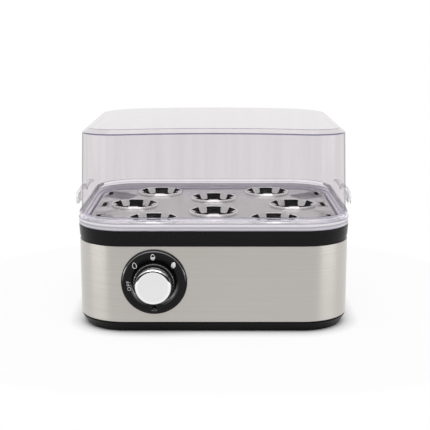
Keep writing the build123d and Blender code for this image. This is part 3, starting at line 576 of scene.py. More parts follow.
# %% [markdown]
# The sheet is filled between its rounded edge, the rims and the slots. Each tab is a strap that climbs from
# the rim, arches over and hangs down into the hole, a little wider at its root. A mark for a painted
# highlight is kept for each point: 1 on the crests of the rims, where a bright ring is painted into the
# colour, and 0.2 on the tabs, which are painted a little paler.

# %% Egg tray
TRAY_INSET, TRAY_EDGE_LOW, TRAY_FLAT_INSET = 6.3, 71.4, 8.4
sheet_low, edge_inner = TRAY_TOP - TRAY_SHEET, TRAY_INSET + TRAY_SHEET
edge_corners = [(TRAY_FLAT_INSET, sheet_low), (edge_inner, sheet_low), (edge_inner, TRAY_EDGE_LOW)]
edge_corners += [(TRAY_INSET, TRAY_EDGE_LOW), (TRAY_INSET, TRAY_TOP), (TRAY_FLAT_INSET, TRAY_TOP)]
edge_profile, _ = ease(edge_corners, [0, 0.9, 0.22, 0.22, 1.5, 0], joined=False)
edge_rings = wrap(edge_profile)
loops = [edge_rings[-1, :, :2]] + [circle(RIM_REACH) + place for place in EGG_PLACES]
loops += [slot_loop + place for place in SLOT_PLACES]

TAB_COUNT, TAB_WIDTH, TAB_FLARE, TAB_CORNER, TAB_EDGE = 5, 6.6, 2.0, 2.2, 0.27
TAB_ROOT, TAB_CREST, TAB_TIP = (17.6, 1.1), (14.9, 2.0), (12.6, -3.2)
tab_line, _ = ease([TAB_ROOT, TAB_CREST, TAB_TIP], [0, 1.1, 0], steps=9, joined=False)
tab = strap(tab_line, TAB_WIDTH, TRAY_SHEET, TAB_CORNER, TAB_EDGE, TAB_FLARE)
tab_turns = [-90 + 360 / TAB_COUNT * i for i in range(TAB_COUNT)]
sheet_surfaces = [skin(edge_rings), plate(loops, TRAY_TOP), flipped(plate(loops, sheet_low))]
sheet_surfaces += [moved(rim, x, y, TRAY_TOP) for x, y in EGG_PLACES]
sheet_surfaces += [moved(slot_wall, x, y, TRAY_TOP) for x, y in SLOT_PLACES]
tabs = [moved(moved(tab, turn=turn), x, y, TRAY_TOP) for x, y in EGG_PLACES for turn in tab_turns]
heights = np.concatenate([surface[0][:, 2] for surface in sheet_surfaces]) - TRAY_TOP
# Painted highlight: the crests of the rims, and the tabs a little, are marked to be painted paler.
sheet_painted_highlight = np.clip((heights - 1.05) / 0.4, 0, 1)
tab_painted_highlight = np.full(sum(len(surface[0]) for surface in tabs), 0.2)
painted_highlight = np.concatenate([sheet_painted_highlight, tab_painted_highlight])
piece("tray_sheet", sheet_surfaces + tabs, "egg_tray", {"painted_highlight": painted_highlight})

# %% [markdown]
# ## Lid
# The lid is moulded in one piece: a locating lip inside the collar, a stepped foot, drafted walls, a
# sloping shoulder and a top that is slightly arched from side to side. A cube with bevels and a Solidify
# modifier would give the walls, but not the foot's two steps or the lip. So one profile runs from the
# middle of the inner roof, down the inside, round the foot and up the outside, and the arch lowers its
# upper part.

# %% Lid's profile
LID_TOP, LID_FOOT, LIP_LOW = 145.0, 73.9, 72.0
SHOULDER_WIDTH, SHOULDER_RISE, CROWN = 4.0, 3.2, 2.0
WALL_LOW_INSET, WALL_DRAFT = 2.1, 2.0 / 65.1
ROOF_SHEET, WALL_SHEET = 2.2, 2.0
LIP_TOP, FIRST_STEP, INNER_STEP, SECOND_STEP = 75.7, 78.9, 80.9, 82.9
FOOT_INNER, LIP_INNER, LIP_OUTER, STEP_INSET = 2.4, 5.3, 3.7, 0.5


def wall_inset(height):
    """Inset of the wall's outer face: it leans in by 2 mm over the lid's height."""
    return WALL_LOW_INSET + (height - INNER_STEP) * WALL_DRAFT


inner_top = LID_TOP - ROOF_SHEET
inner_knee, outer_knee = inner_top - SHOULDER_RISE, LID_TOP - SHOULDER_RISE
lid_corners = [
    (14.0, inner_top),
    (wall_inset(inner_top) + WALL_SHEET + SHOULDER_WIDTH, inner_top),
    (wall_inset(inner_knee) + WALL_SHEET, inner_knee),
    (wall_inset(INNER_STEP) + WALL_SHEET, INNER_STEP),
    (FOOT_INNER, INNER_STEP),
    (FOOT_INNER, LIP_TOP),
    (LIP_INNER, LIP_TOP),
    (LIP_INNER, LIP_LOW),
    (LIP_OUTER, LIP_LOW),
    (LIP_OUTER, LID_FOOT),
    (0.0, LID_FOOT),
    (0.0, FIRST_STEP),
    (STEP_INSET, FIRST_STEP),
    (STEP_INSET, SECOND_STEP),
    (wall_inset(SECOND_STEP), SECOND_STEP),
    (wall_inset(outer_knee), outer_knee),
    (wall_inset(LID_TOP) + SHOULDER_WIDTH, LID_TOP),
    (12.0, LID_TOP),
]
lid_radii = [0, 0.8, 0.8, 0.3, 0.3, 0.5, 0.3, 0.3, 0.3, 0.3, 0.45, 0.2, 0.15, 0.45, 0.3, 0.9, 0.9, 0]
lid_profile, lid_bend = ease(lid_corners, lid_radii, joined=False)
print("lid's profile", len(lid_profile), "points, of them on arcs", int(lid_bend.sum()))

# %% [markdown]
# The profile is carried round the outline and the roof is filled towards the middle. Two marks are kept for
# the finish: "bend" is 1 on the arcs, where dark lines are painted because bends look dark in clear plastic,
# and "outside" is 1 on the outer face.

# %% Lid
lid_rings = wrap(lid_profile)
roof_shares = np.linspace(1, 0, 13)[1:-1]
lid_rings = np.concatenate([
    draw_in(lid_rings[0], roof_shares)[::-1],
    lid_rings,
    draw_in(lid_rings[-1], roof_shares),
])
lid_bend = np.concatenate([0 * roof_shares, lid_bend, 0 * roof_shares])
lid_outside = (np.arange(len(lid_rings)) > lid_rings[:, 0, 2].argmin()) * 1.0
ARCH_LOW, ARCH_FULL = 100.0, 130.0
arched = np.clip((lid_rings[:, :, 2] - ARCH_LOW) / (ARCH_FULL - ARCH_LOW), 0, 1)
lid_rings[:, :, 2] -= arched * CROWN * (lid_rings[:, :, 0] / HALF_X) ** 2
lid_surface = skin(lid_rings, "closed")
lid_marks = {
    "bend": np.concatenate([np.repeat(lid_bend, len(LEAN)), [0.0, 0.0]]),
    "outside": np.concatenate([np.repeat(lid_outside, len(LEAN)), [0.0, 1.0]]),
}

# %% [markdown]
# ## Lid ears
# Each side of the lid has a finger grip: a strip that leaves the wall, curves outwards and hangs down, open
# below. It is a strap like the tray's tabs, and a boolean union melts it into the wall, as in the mould.

# %% Lid ears
EAR_ROOT_X, EAR_X, EAR_HEIGHT, EAR_LOW, EAR_BEND = 94.9, 103.6, 92.5, 80.3, 5.0
EAR_WIDTH, EAR_SHEET, EAR_CORNER, EAR_EDGE = 36.0, 2.0, 1.5, 0.6
ear_corners = [(EAR_ROOT_X, EAR_HEIGHT), (EAR_X, EAR_HEIGHT), (EAR_X, EAR_LOW)]
ear_line, _ = ease(ear_corners, [0, EAR_BEND, 0], steps=13, joined=False)
ear = strap(ear_line, EAR_WIDTH, EAR_SHEET, EAR_CORNER, EAR_EDGE)
lid = piece("lid_shell", [lid_surface], "lid", lid_marks)


def unite(target, surfaces):
    """Joins closed surfaces to a piece with an exact boolean union, and keeps the result as its mesh."""
    ones = np.ones(sum(len(surface[0]) for surface in surfaces))
    helper = piece("ear_tool", surfaces, "lid", {"bend": 0 * ones, "outside": ones})
    joint = target.modifiers.new("union", "BOOLEAN")
    joint.operation, joint.solver, joint.object = "UNION", "EXACT", helper
    bpy.context.view_layer.update()
    evaluated = target.evaluated_get(bpy.context.evaluated_depsgraph_get())
    target.data = bpy.data.meshes.new_from_object(evaluated)
    target.modifiers.clear()
    del pieces["ear_tool"]
    bpy.data.objects.remove(helper)
    print(target.name, "after the union:", len(target.data.polygons), "faces")


unite(lid, [ear, moved(ear, turn=180)])

# %% [markdown]
# The union leaves the marks of the ears' points and of the seam in disorder, so those are written again: an
# ear is all outside and gets no painted dark bend lines.

# %% Marks of the ears
points = np.zeros((len(lid.data.vertices), 3))
lid.data.vertices.foreach_get("co", points.ravel())
x, y, z = (points / MM - body_middle).T
SEAM_X, SEAM_SPARE = 95.2, 0.2
in_width = np.abs(y) < EAR_WIDTH / 2 + SEAM_SPARE
in_sheet = np.abs(z - EAR_HEIGHT) < EAR_SHEET / 2 + SEAM_SPARE
on_seam = (np.abs(x) > SEAM_X) & in_width & in_sheet
at_ear = (np.abs(x) > HALF_X + 0.1) | on_seam
for mark, ear_value in (("bend", 0.0), ("outside", 1.0)):
    stored = lid.data.attributes[mark].data
    values = np.zeros(len(points))
    stored.foreach_get("value", values)
    values[at_ear] = ear_value
    stored.foreach_set("value", values)
print("points of the ears", at_ear.sum())

# %% [markdown]
# ## Dial
# The dial plate, the knob and the lamp's lens are turned shapes about one axis that points at the reader.
# They are worked out standing up and then tipped forwards onto the band's face, in the mesh itself, so that
# the objects stay unturned at the origin.

# %% Dial placing
DIAL_X, DIAL_Z, FRONT_Y = -41.9, 37.5, -84.5


def on_dial(surface):
    """Tips a surface forwards: its z axis points out of the front, its y axis up."""
    points, faces, travel = surface
    x, y, z = points.T
    return np.stack([DIAL_X + x, FRONT_Y - z, DIAL_Z + y], axis=-1), faces, travel


# %% [markdown]
# The plate's face is flat between the bevel, the shaft's hole and the little hole for the lamp's lens. A
# cylinder with boolean cuts would do, but turned rings that end on the filled face need no cut. The bevel
# runs into the face in a wide round, which holds a soft bright line. A spigot behind passes through the
# band.

# %% Dial plate
BEZEL_RADIUS, BEZEL_THICK, BEVEL, BEVEL_ROUND = 23.3, 2.0, 1.1, 2.0
FACE_REACH, SHAFT_HOLE, DIAL_STEPS = 21.0, 5.2, 144
LENS_PLACE, LENS_HOLE, LENS_STEPS = (0.0, -19.5), 1.1, 36
SPIGOT_RADIUS, SPIGOT_BORE, SPIGOT_DEPTH = 15.6, 13.6, 4.5
rim_corners = [(FACE_REACH, 0.0), (BEZEL_RADIUS, 0.0), (BEZEL_RADIUS, BEZEL_THICK - BEVEL)]
rim_corners += [(BEZEL_RADIUS - BEVEL, BEZEL_THICK), (FACE_REACH, BEZEL_THICK)]
rim_points, _ = ease(rim_corners, [0, 0.2, 0.25, BEVEL_ROUND, 0], hold=0.1, joined=False)
face_loops = [circle(FACE_REACH, DIAL_STEPS), circle(SHAFT_HOLE, DIAL_STEPS)]
face_loops += [circle(LENS_HOLE, LENS_STEPS) + LENS_PLACE]
shaft_hole = skin(turned([(SHAFT_HOLE, BEZEL_THICK), (SHAFT_HOLE, 0.0)], DIAL_STEPS))
lens_hole = skin(turned([(LENS_HOLE, BEZEL_THICK), (LENS_HOLE, 0.0)], LENS_STEPS))
spigot_corners = [(SPIGOT_BORE, 0.0), (SPIGOT_BORE, -SPIGOT_DEPTH), (SPIGOT_RADIUS, -SPIGOT_DEPTH)]
spigot_profile, _ = ease(spigot_corners + [(SPIGOT_RADIUS, 0.0)], 0.2)
dial_surfaces = [
    skin(turned(rim_points, DIAL_STEPS)),
    plate(face_loops, BEZEL_THICK),
    flipped(plate(face_loops, 0.0)),
    shaft_hole,
    moved(lens_hole, *LENS_PLACE),
    skin(turned(spigot_profile, 96), "joined"),
]
piece("dial_plate", [on_dial(surface) for surface in dial_surfaces], "dial_bezel")

# %% [markdown]
# The lens is the end of a short light guide that brings the lamp's glow to the dial. It is a turned rod
# with a slightly domed tip.

# %% Lamp's lens
LENS_RADIUS, LENS_EDGE, LENS_TOP = 1.05, 2.1, 2.3
lens_corners = [(0.4, 0.0), (LENS_RADIUS, 0.0), (LENS_RADIUS, LENS_EDGE), (0.5, LENS_TOP)]
lens_profile, _ = ease(lens_corners, [0, 0.1, 0.2, 0], joined=False)
lens_rod = moved(skin(turned(lens_profile, LENS_STEPS), "closed"), *LENS_PLACE)
piece("lamp_lens", [on_dial(lens_rod)], "pilot_lens")

# %% [markdown]
# ## Knob
# The knob is a black core with a finely grooved skirt and a bright cup pressed over it. The grooves are
# half round and cut the skirt at 36 places; towards the rounded front edge they run out. A boolean cut for
# each groove would work as well, but drawing every ring in by the groove's depth keeps the mesh even. At
# distance d from a groove's middle the depth is sqrt(r^2 - d^2).

# %% Knob's core
SKIRT_RADIUS, SKIRT_LOW, SKIRT_TOP = 14.75, 2.6, 5.8
STEM_RADIUS, STEM_TOP, KNOB_BORE = 11.75, 13.9, 3.1
core_corners = [(KNOB_BORE, SKIRT_LOW), (SKIRT_RADIUS, SKIRT_LOW), (SKIRT_RADIUS, SKIRT_TOP)]
core_corners += [(STEM_RADIUS, SKIRT_TOP), (STEM_RADIUS, STEM_TOP), (KNOB_BORE, STEM_TOP)]
core_profile, _ = ease(core_corners, [0.1, 0.25, 1.2, 0.1, 0.3, 0.1])
GROOVES, GROOVE_STEPS, GROOVE_RADIUS, GROOVE_START, GROOVE_FULL = 36, 12, 0.35, 13.2, 14.4
core_rings = turned(core_profile, GROOVES * GROOVE_STEPS)
pitch_share = (np.arange(GROOVES * GROOVE_STEPS) % GROOVE_STEPS - GROOVE_STEPS / 2) / GROOVE_STEPS
from_groove = np.abs(pitch_share * 2 * np.pi / GROOVES * core_profile[:, :1])
depth = np.sqrt(np.clip(GROOVE_RADIUS**2 - from_groove**2, 0, None))
on_skirt = np.clip((core_profile[:, :1] - GROOVE_START) / (GROOVE_FULL - GROOVE_START), 0, 1)
core_rings[:, :, :2] *= (1 - depth * on_skirt / np.maximum(core_profile[:, :1], 1.0))[:, :, None]
piece("knob_body", [on_dial(skin(core_rings, "joined"))], "knob_core")

# %% [markdown]
# The cup is drawn from bright sheet: a flat face that turns into the side in a wide round. It is turned
# from a closed profile, with many steps in the round, because a mirror finish shows every facet.

# %% Knob's cup
CUP_RADIUS, CUP_LOW, CUP_TOP, CUP_WALL, CUP_FACE = 12.65, 6.1, 15.0, 0.9, 10.5
cup_inner, cup_under = CUP_RADIUS - CUP_WALL, CUP_TOP - CUP_WALL
cup_corners = [(4.0, cup_under), (cup_inner, cup_under), (cup_inner, CUP_LOW)]
cup_corners += [(CUP_RADIUS, CUP_LOW), (CUP_RADIUS, CUP_TOP), (4.0, CUP_TOP)]
cup_radii = [0, 0.3, 0.25, 0.25, CUP_RADIUS - CUP_FACE, 0]
cap_profile, _ = ease(cup_corners, cup_radii, steps=15, joined=False)
piece("knob_cup", [on_dial(skin(turned(cap_profile, 128), "closed"))], "knob_cap")

# %% [markdown]
# ## Cord gland
# The bush at the back holds the mains cord: a soft-edged flange outside, a nut inside, and a clear bore. It
# is a closed turned shape, tipped backwards through the band.

# %% Cord gland
CORD_BORE, NUT_RADIUS, NUT_TOP, NUT_LOW = 3.3, 7.0, -0.7, -3.7
NECK_RADIUS, FLANGE_RADIUS, FLANGE_TOP = 4.9, 8.0, 1.5
gland_corners = [(CORD_BORE, NUT_LOW), (NUT_RADIUS, NUT_LOW), (NUT_RADIUS, NUT_TOP), (NECK_RADIUS, NUT_TOP)]
gland_corners += [(NECK_RADIUS, 0.0), (FLANGE_RADIUS, 0.0)]
gland_corners += [(FLANGE_RADIUS, FLANGE_TOP), (CORD_BORE, FLANGE_TOP)]
gland_profile, _ = ease(gland_corners, [0.3, 0.3, 0.1, 0.05, 0.05, 0.2, 0.75, 0.4])
GLAND_X, GLAND_Z, REAR_Y = 45.0, 22.0, 84.5


def on_gland(surface):
    """Tips a surface backwards: its z axis points out of the back, its y axis up."""
    points, faces, travel = surface
    x, y, z = points.T
    return np.stack([GLAND_X - x, REAR_Y + z, GLAND_Z + y], axis=-1), faces, travel


piece("cord_bush", [on_gland(skin(turned(gland_profile, 96), "joined"))], "cord_gland")

# %% [markdown]
# ## Printed symbols
# The dial is printed in white: the word OFF, read upwards, and three eggs for soft, medium and hard, whose
# filling shows the yolk's firmness. An image on the plate would do, but a film of ink with real edges stays
# sharp at any distance. An egg's outline is x = w cos t (1 - k sin t), y = h sin t, narrower at the top.
# The half egg fills the lower half of the middle one.

# %% Printed eggs
INK_LOW, INK_HIGH = 2.0, 2.035
EGG_HALF_WIDTH, EGG_HALF_HEIGHT, EGG_TAPER, EGG_LINE = 1.55, 2.25, 0.16, 0.42


def egg_outline(inset=0.0, steps=64):
    """Outline of an egg drawn in by inset: x = w cos t (1 - k sin t), y = h sin t."""
    t = np.arange(steps) / steps * 2 * np.pi
    x = (EGG_HALF_WIDTH - inset) * np.cos(t) * (1 - EGG_TAPER * np.sin(t))
    return np.stack([x, (EGG_HALF_HEIGHT - inset) * np.sin(t)], axis=-1)


def film(loops):
    """Closed film of ink between the dial's face and the print's height, over a flat region."""
    walls = []
    for i, loop in enumerate(loops):
        low = np.concatenate([loop, np.full((len(loop), 1), INK_LOW)], axis=1)
        high = low + [0.0, 0.0, INK_HIGH - INK_LOW]
        walls.append(skin(np.stack([low, high] if i == 0 else [high, low])))
    return [plate(loops, INK_HIGH), flipped(plate(loops, INK_LOW))] + walls


outer_egg, inner_egg = egg_outline(), egg_outline(EGG_LINE)
half_egg = egg_outline(EGG_LINE - 0.1)
half_egg = np.concatenate([half_egg[len(half_egg) // 2:], half_egg[:1]])
soft, medium = film([outer_egg, inner_egg]), film([outer_egg, inner_egg]) + film([half_egg])
ink = []
for symbol, angle, reach, lean in (
    (soft, 138.0, 18.2, 14.0),
    (medium, 92.0, 18.3, 0.0),
    (film([outer_egg]), 42.5, 18.6, -14.0),
):
    x, y = reach * np.cos(np.radians(angle)), reach * np.sin(np.radians(angle))
    ink += [moved(surface, x, y, turn=lean) for surface in symbol]
print("films of ink", len(ink))

# %% [markdown]
# The word is made as a text object of the film's thickness, and its mesh is copied into the print. Slightly
# thinned letters with a little more space between them match small printed type.

# %% Printed word
OFF_SIZE, OFF_SPACING, OFF_THINNING = 3.8, 1.15, -0.035
OFF_X, OFF_Y, OFF_TURN = -17.7, -2.5, 98
lettering = bpy.data.curves.new("off_word", "FONT")
lettering.body, lettering.size, lettering.extrude = "OFF", OFF_SIZE, (INK_HIGH - INK_LOW) / 2
lettering.space_character, lettering.offset = OFF_SPACING, OFF_THINNING
word = bpy.data.objects.new("off_word", lettering)
bpy.context.scene.collection.objects.link(word)
flat_word = word.to_mesh()
letters = np.zeros(len(flat_word.vertices) * 3)
flat_word.vertices.foreach_get("co", letters)
letters = letters.reshape(-1, 3)
letters -= (letters.max(axis=0) + letters.min(axis=0)) / 2
corner_lists = [list(face.vertices) for face in flat_word.polygons]
letter_faces = np.array([corners + [-1] * (4 - len(corners)) for corners in corner_lists])
print("OFF is", np.ptp(letters, axis=0).round(2), "mm,", len(letter_faces), "faces")
word.to_mesh_clear()
bpy.data.objects.remove(word)
word_travel = letters[np.where(letter_faces < 0, 0, letter_faces)][:, :, :2]
word_surface = (letters + [0, 0, (INK_HIGH + INK_LOW) / 2], letter_faces, word_travel)
ink.append(moved(word_surface, OFF_X, OFF_Y, turn=OFF_TURN))
print_piece = piece("dial_print", [on_dial(surface) for surface in ink], "dial_bezel", stands_in=False)

# %% [markdown]
# ## Shader helpers
# Finishes are written as sums and products of sockets. A small class wraps a socket so that ordinary
# operators add Math nodes, and one method makes any node from its type, its settings and its socket values.
# The same trees could be wired by hand in the Shader Editor, but as text they're short and can be read from
# the top.


# %% Sums and products of sockets
class Wire:
    """A node's output that can be added, subtracted and multiplied inside its tree."""

    def __init__(self, tree, socket):
        self.tree, self.socket = tree, socket

    def __add__(self, other):
        return self.tree.math("ADD", self, other)

    def __sub__(self, other):
        return self.tree.math("SUBTRACT", self, other)

    def __rsub__(self, other):
        return self.tree.math("SUBTRACT", other, self)

    def __mul__(self, other):
        return self.tree.math("MULTIPLY", self, other)

    __radd__, __rmul__ = __add__, __mul__


# %% [markdown]
# The tree's other methods are the few nodes that these finishes use, each with the name of what it gives.


# %% A tree of nodes
class Tree:
    """A node tree of a material or the world, filled node by node."""

    def __init__(self, owner):
        owner.use_nodes = True
        self.owner, self.nodes, self.links = owner, owner.node_tree.nodes, owner.node_tree.links
        self.nodes.clear()

    def add(self, kind, settings=None, sockets=None, output=0):
        """Makes a node, sets its settings and sockets, and returns the wanted output."""
        node = self.nodes.new(kind)
        for name, value in (settings or {}).items():
            setattr(node, name, value)
        for key, value in (sockets or {}).items():
            if isinstance(value, Wire):
                self.links.new(value.socket, node.inputs[key])
            else:
                node.inputs[key].default_value = value
        return Wire(self, node.outputs[output]) if len(node.outputs) else node

    def math(self, operation, *values):
        """A Math node over sockets and plain numbers."""
        return self.add("ShaderNodeMath", {"operation": operation}, dict(enumerate(values)))

    def blend(self, share, first, second):
        """Mix of two colours; share 0 gives the first."""
        return self.add("ShaderNodeMix", {"data_type": "RGBA"}, {0: share, 6: first, 7: second}, 2)

    def place(self):
        """The point's own position in the shared frame."""
        return self.add("ShaderNodeTexCoord", output=3)

    def part(self, vector, axis):
        """The X, Y or Z part of a vector."""
        return self.add("ShaderNodeSeparateXYZ", None, {"Vector": vector}, axis)

    def facing(self, axis):
        """How far the surface faces along an axis, from -1 to 1."""
        return self.part(self.add("ShaderNodeNewGeometry", output="Normal"), axis)

    def ray(self, kind):
        """1 where the light path's ray is of a kind, else 0."""
        return self.add("ShaderNodeLightPath", output=f"Is {kind} Ray")

    def mark(self, name):
        """A value that a piece keeps for each of its points."""
        return self.add("ShaderNodeAttribute", {"attribute_name": name}, output="Fac")

    def travel(self):
        """The running distances of a surface, round it and along it."""
        return self.add("ShaderNodeUVMap", {"uv_map": "travel"})

    def stretched(self, vector, x, y, z=1.0):
        """A vector with each part multiplied by its own factor."""
        return self.add("ShaderNodeMapping", None, {"Vector": vector, "Scale": (x, y, z)})

    def noise(self, vector, scale, detail=2.0, rough=0.5):
        """Smooth noise from 0 to 1."""
        sockets = {"Vector": vector, "Scale": scale, "Detail": detail, "Roughness": rough}
        return self.add("ShaderNodeTexNoise", None, sockets)

    def ramp(self, value, low, high, first=0.0, last=1.0):
        """Straight line from first to last while the value goes from low to high, held beyond."""
        sockets = {0: value, 1: low, 2: high, 3: first, 4: last}
        return self.add("ShaderNodeMapRange", None, sockets)

    def bump(self, height, strength, distance):
        """Normal bent by a height in metres times distance."""
        sockets = {"Height": height, "Strength": strength, "Distance": distance}
        return self.add("ShaderNodeBump", None, sockets)

    def surface(self, values):
        """Principled shader with the given socket values."""
        return self.add("ShaderNodeBsdfPrincipled", None, values)

    def mix(self, share, first, second):
        """Mix of two shaders; share 0 gives the first."""
        return self.add("ShaderNodeMixShader", None, {0: share, 1: first, 2: second})

    def show(self, shader):
        """Makes a shader the tree's result, and returns the material or world."""
        kind = "World" if isinstance(self.owner, bpy.types.World) else "Material"
        self.add(f"ShaderNodeOutput{kind}", None, {"Surface": shader})
        print(f"{self.owner.name}: {len(self.nodes)} nodes")
        return self.owner


def colour(red, green, blue):
    """A colour socket's value."""
    return (red, green, blue, 1.0)


# %% [markdown]
# ## Background rays
# The background is white for the camera, and also where metal and the clear lid mirror it or let it
# through. One share tells those rays from the soft ones that only light the object.


# %% Background rays
def seen_directly(tree):
    """1 for camera, glossy and transmission rays, else 0."""
    return tree.math("MINIMUM", tree.ray("Camera") + tree.ray("Glossy") + tree.ray("Transmission"), 1.0)


# %% [markdown]
# ## Finishes
# Every material of the record gets a finish with some life in it: a slow change of tone, a fine grain, and
# marks that follow the way the part is made. Most are one call of a common recipe, and the band, tray, knob
# and lid have recipes of their own. The dial plate adds a coat on its bevel only, where it leans a little
# upwards: there real gloss plastic mirrors the bright room above, which this stage doesn't have.


# %% Common finish
def coat(name, tone, roughness, metal=0.0, drift=0.06, grain=0.0, fineness=900.0, sockets=None, bevel=0.0):
    """Finish with a slow change of tone and roughness, and a fine bumpy grain of the given height in mm.

    drift is the change of tone as a share. bevel is how brightly slopes shine that lean a little up from the
    front: the share rises and falls again with the part of the normal that points to the front."""
    tree = Tree(bpy.data.materials.new(name))
    where = tree.place()
    slow = tree.noise(where, 14.0, 3.0)
    fine = tree.noise(where, fineness, 3.0, 0.6)
    darker = colour(*[part * (1 - drift) for part in tone])
    lighter = colour(*[min(part * (1 + drift), 1.0) for part in tone])
    values = {
        "Base Color": tree.blend(tree.ramp(slow, 0.35, 0.65), darker, lighter),
        "Metallic": metal,
        "Roughness": tree.ramp(slow * 0.6 + fine * 0.4, 0.3, 0.7, roughness - 0.05, roughness + 0.05),
    }
    if grain:
        values["Normal"] = tree.bump(fine, 1.0, grain * MM)
    if bevel:
        to_front = tree.math("ABSOLUTE", tree.facing("Y"))
        leaning = tree.ramp(to_front, 0.99, 0.97, 0.0, bevel) * tree.ramp(to_front, 0.84, 0.88)
        upwards = tree.ramp(tree.facing("Z"), 0.0, 0.15)
        values |= {"Coat Weight": leaning * upwards, "Coat Roughness": 0.06, "Coat IOR": 3.6}
    return tree.show(tree.surface(values | (sockets or {})))


def shine(level):
    """Setting for how strongly a plain plastic mirrors, 0.5 being usual."""
    return {"Specular IOR Level": level}


# %% [markdown]
# The tones are those of the real materials: black plastics are never quite black, zinc and bare aluminium
# drift in tone, a heater's sheath is tinted by heat, and the leads have the colours that mains wiring has.
# The outer black plastics mirror less than usual, because they're finely grained.

# %% Finishes of the slots
black_housing, black_gloss = (0.0060, 0.0056, 0.0056), (0.0045, 0.0045, 0.0050)
pan_black, lens_smoke = (0.0035, 0.0035, 0.0040), (0.06, 0.055, 0.05)
lens_sockets = {"Transmission Weight": 0.3} | shine(0.15)
finishes = {
    "black_housing": coat("satin_black", black_housing, 0.28, grain=0.008, sockets=shine(0.12)),
    "black_gloss": coat("gloss_black", black_gloss, 0.16, grain=0.003, sockets=shine(0.16), bevel=1.0),
    "pan_coating": coat("dark_coating", pan_black, 0.50, grain=0.02, fineness=1400.0, sockets=shine(0.04)),
    "silicone": coat("grey_silicone", (0.26, 0.26, 0.27), 0.55, grain=0.01),
    "foot_rubber": coat("pad_rubber", (0.018, 0.018, 0.018), 0.75, grain=0.03, fineness=1200.0),
    "cast_aluminium": coat("machined_aluminium", (0.62, 0.62, 0.63), 0.34, 1.0, grain=0.015),
    "element_sheath": coat("heat_tinted_sheath", (0.30, 0.27, 0.24), 0.38, 1.0, drift=0.25, grain=0.01),
    "zinc_steel": coat("zinc_plate", (0.56, 0.56, 0.54), 0.32, 1.0, 0.15, grain=0.008, fineness=400.0),
    "phenolic": coat("brown_phenolic", (0.10, 0.055, 0.035), 0.45, drift=0.2, grain=0.015),
    "timer_plastic": coat("ivory_plastic", (0.72, 0.70, 0.64), 0.40, grain=0.012),
    "fuse_case": coat("fuse_sleeve", (0.70, 0.63, 0.47), 0.36, 0.3, drift=0.12, grain=0.01),
    "lamp_glass": coat("orange_lamp", (0.85, 0.30, 0.10), 0.08, sockets={"Transmission Weight": 0.6}),
    "lens_clear": coat("lens_plastic", lens_smoke, 0.20, sockets=lens_sockets),
    "brown_insulation": coat("brown_sleeve", (0.20, 0.09, 0.04), 0.35, grain=0.006),
    "blue_insulation": coat("blue_sleeve", (0.03, 0.11, 0.42), 0.35, grain=0.006),
    "green_insulation": coat("green_sleeve", (0.09, 0.36, 0.07), 0.35, grain=0.006),
}
print("finishes", len(finishes))

# %% [markdown]
# The band is brushed along its length: noise that is stretched far along the strip and changes quickly
# across it gives fine lines, which show in tone, in roughness and as scratches. The noise is read from the
# running distances, so the lines turn round the corners with the steel. The anisotropic setting spreads a
# highlight across the lines, as brushing does.

# %% Brushed band
tree = Tree(bpy.data.materials.new("brushed_steel"))
run = tree.travel()
hair = tree.noise(tree.stretched(run, 9.0, 5200.0), 1.0, 2.0)
streak = tree.noise(tree.stretched(run, 3.0, 900.0), 1.0, 3.0)
cloud = tree.noise(tree.place(), 9.0, 2.0)
lines = hair * 0.55 + streak * 0.45
tone_share = tree.ramp(lines * 0.8 + cloud * 0.2, 0.3, 0.7)
finishes["brushed_band"] = tree.show(tree.surface({
    "Base Color": tree.blend(tone_share, colour(0.485, 0.46, 0.427), colour(0.575, 0.55, 0.52)),
    "Metallic": 1.0,
    "Roughness": tree.ramp(lines, 0.3, 0.7, 0.26, 0.36),
    "Anisotropic": 0.7,
    "Anisotropic Rotation": 0.25,
    "Normal": tree.bump(lines, 0.6, 0.012 * MM),
}))

# %% [markdown]
# The tray is polished and only faintly clouded by wiping. The painted highlight mark makes the crests of its
# rims paler, so each hole gets a thin bright ring painted into its colour, and the tabs a little paler.

# %% Polished tray
tree = Tree(bpy.data.materials.new("polished_steel"))
where = tree.place()
wipe = tree.noise(tree.stretched(where, 30.0, 260.0, 30.0), 1.0, 3.0)
haze = tree.noise(where, 25.0, 2.0)
steel = tree.blend(tree.ramp(haze, 0.3, 0.7), colour(0.45, 0.45, 0.447), colour(0.55, 0.55, 0.545))
finishes["polished_steel"] = tree.show(tree.surface({
    # Painted highlight: the marked crests and tabs are painted near white.
    "Base Color": tree.blend(tree.mark("painted_highlight"), steel, colour(0.97, 0.97, 0.97)),
    "Metallic": 1.0,
    "Roughness": tree.ramp(wipe * 0.5 + haze * 0.5, 0.3, 0.7, 0.12, 0.20),
    "Normal": tree.bump(wipe, 0.3, 0.004 * MM),
}))

# %% [markdown]
# The knob's cup is turned, so its marks are rings about the dial's axis: noise read from the distance to
# that axis. The face is satin and the rounded edge bright. On the upper part of that edge the real cup
# mirrors a dark band of the room, so that reflection is painted as a dark band where the edge leans upwards.

# %% Knob cup
tree = Tree(bpy.data.materials.new("turned_cup"))
flatten, axis_point = (1.0, 0.0, 1.0), (DIAL_X * MM, 0.0, DIAL_Z * MM)
flat_place = tree.add("ShaderNodeVectorMath", {"operation": "MULTIPLY"}, {0: tree.place(), 1: flatten})
apart = {0: flat_place, 1: axis_point}
from_axis = tree.add("ShaderNodeVectorMath", {"operation": "DISTANCE"}, apart, "Value")
ring_place = tree.add("ShaderNodeCombineXYZ", None, {"X": from_axis * 9000.0})
turning = tree.noise(ring_place, 1.0, 2.0)
on_face = tree.ramp(from_axis, (CUP_FACE - 0.1) * MM, (CUP_FACE + 0.1) * MM, 1.0, 0.0)
bright = tree.blend(on_face, colour(0.90, 0.90, 0.905), colour(0.85, 0.84, 0.85))
# Painted reflection: a dark band on the rounded edge where it leans moderately upwards.
leaning = tree.ramp(tree.facing("Z"), 0.12, 0.20) * tree.ramp(tree.facing("Z"), 0.58, 0.48)
on_edge = tree.ramp(from_axis, (CUP_RADIUS - 0.05) * MM, (CUP_RADIUS - 0.25) * MM)
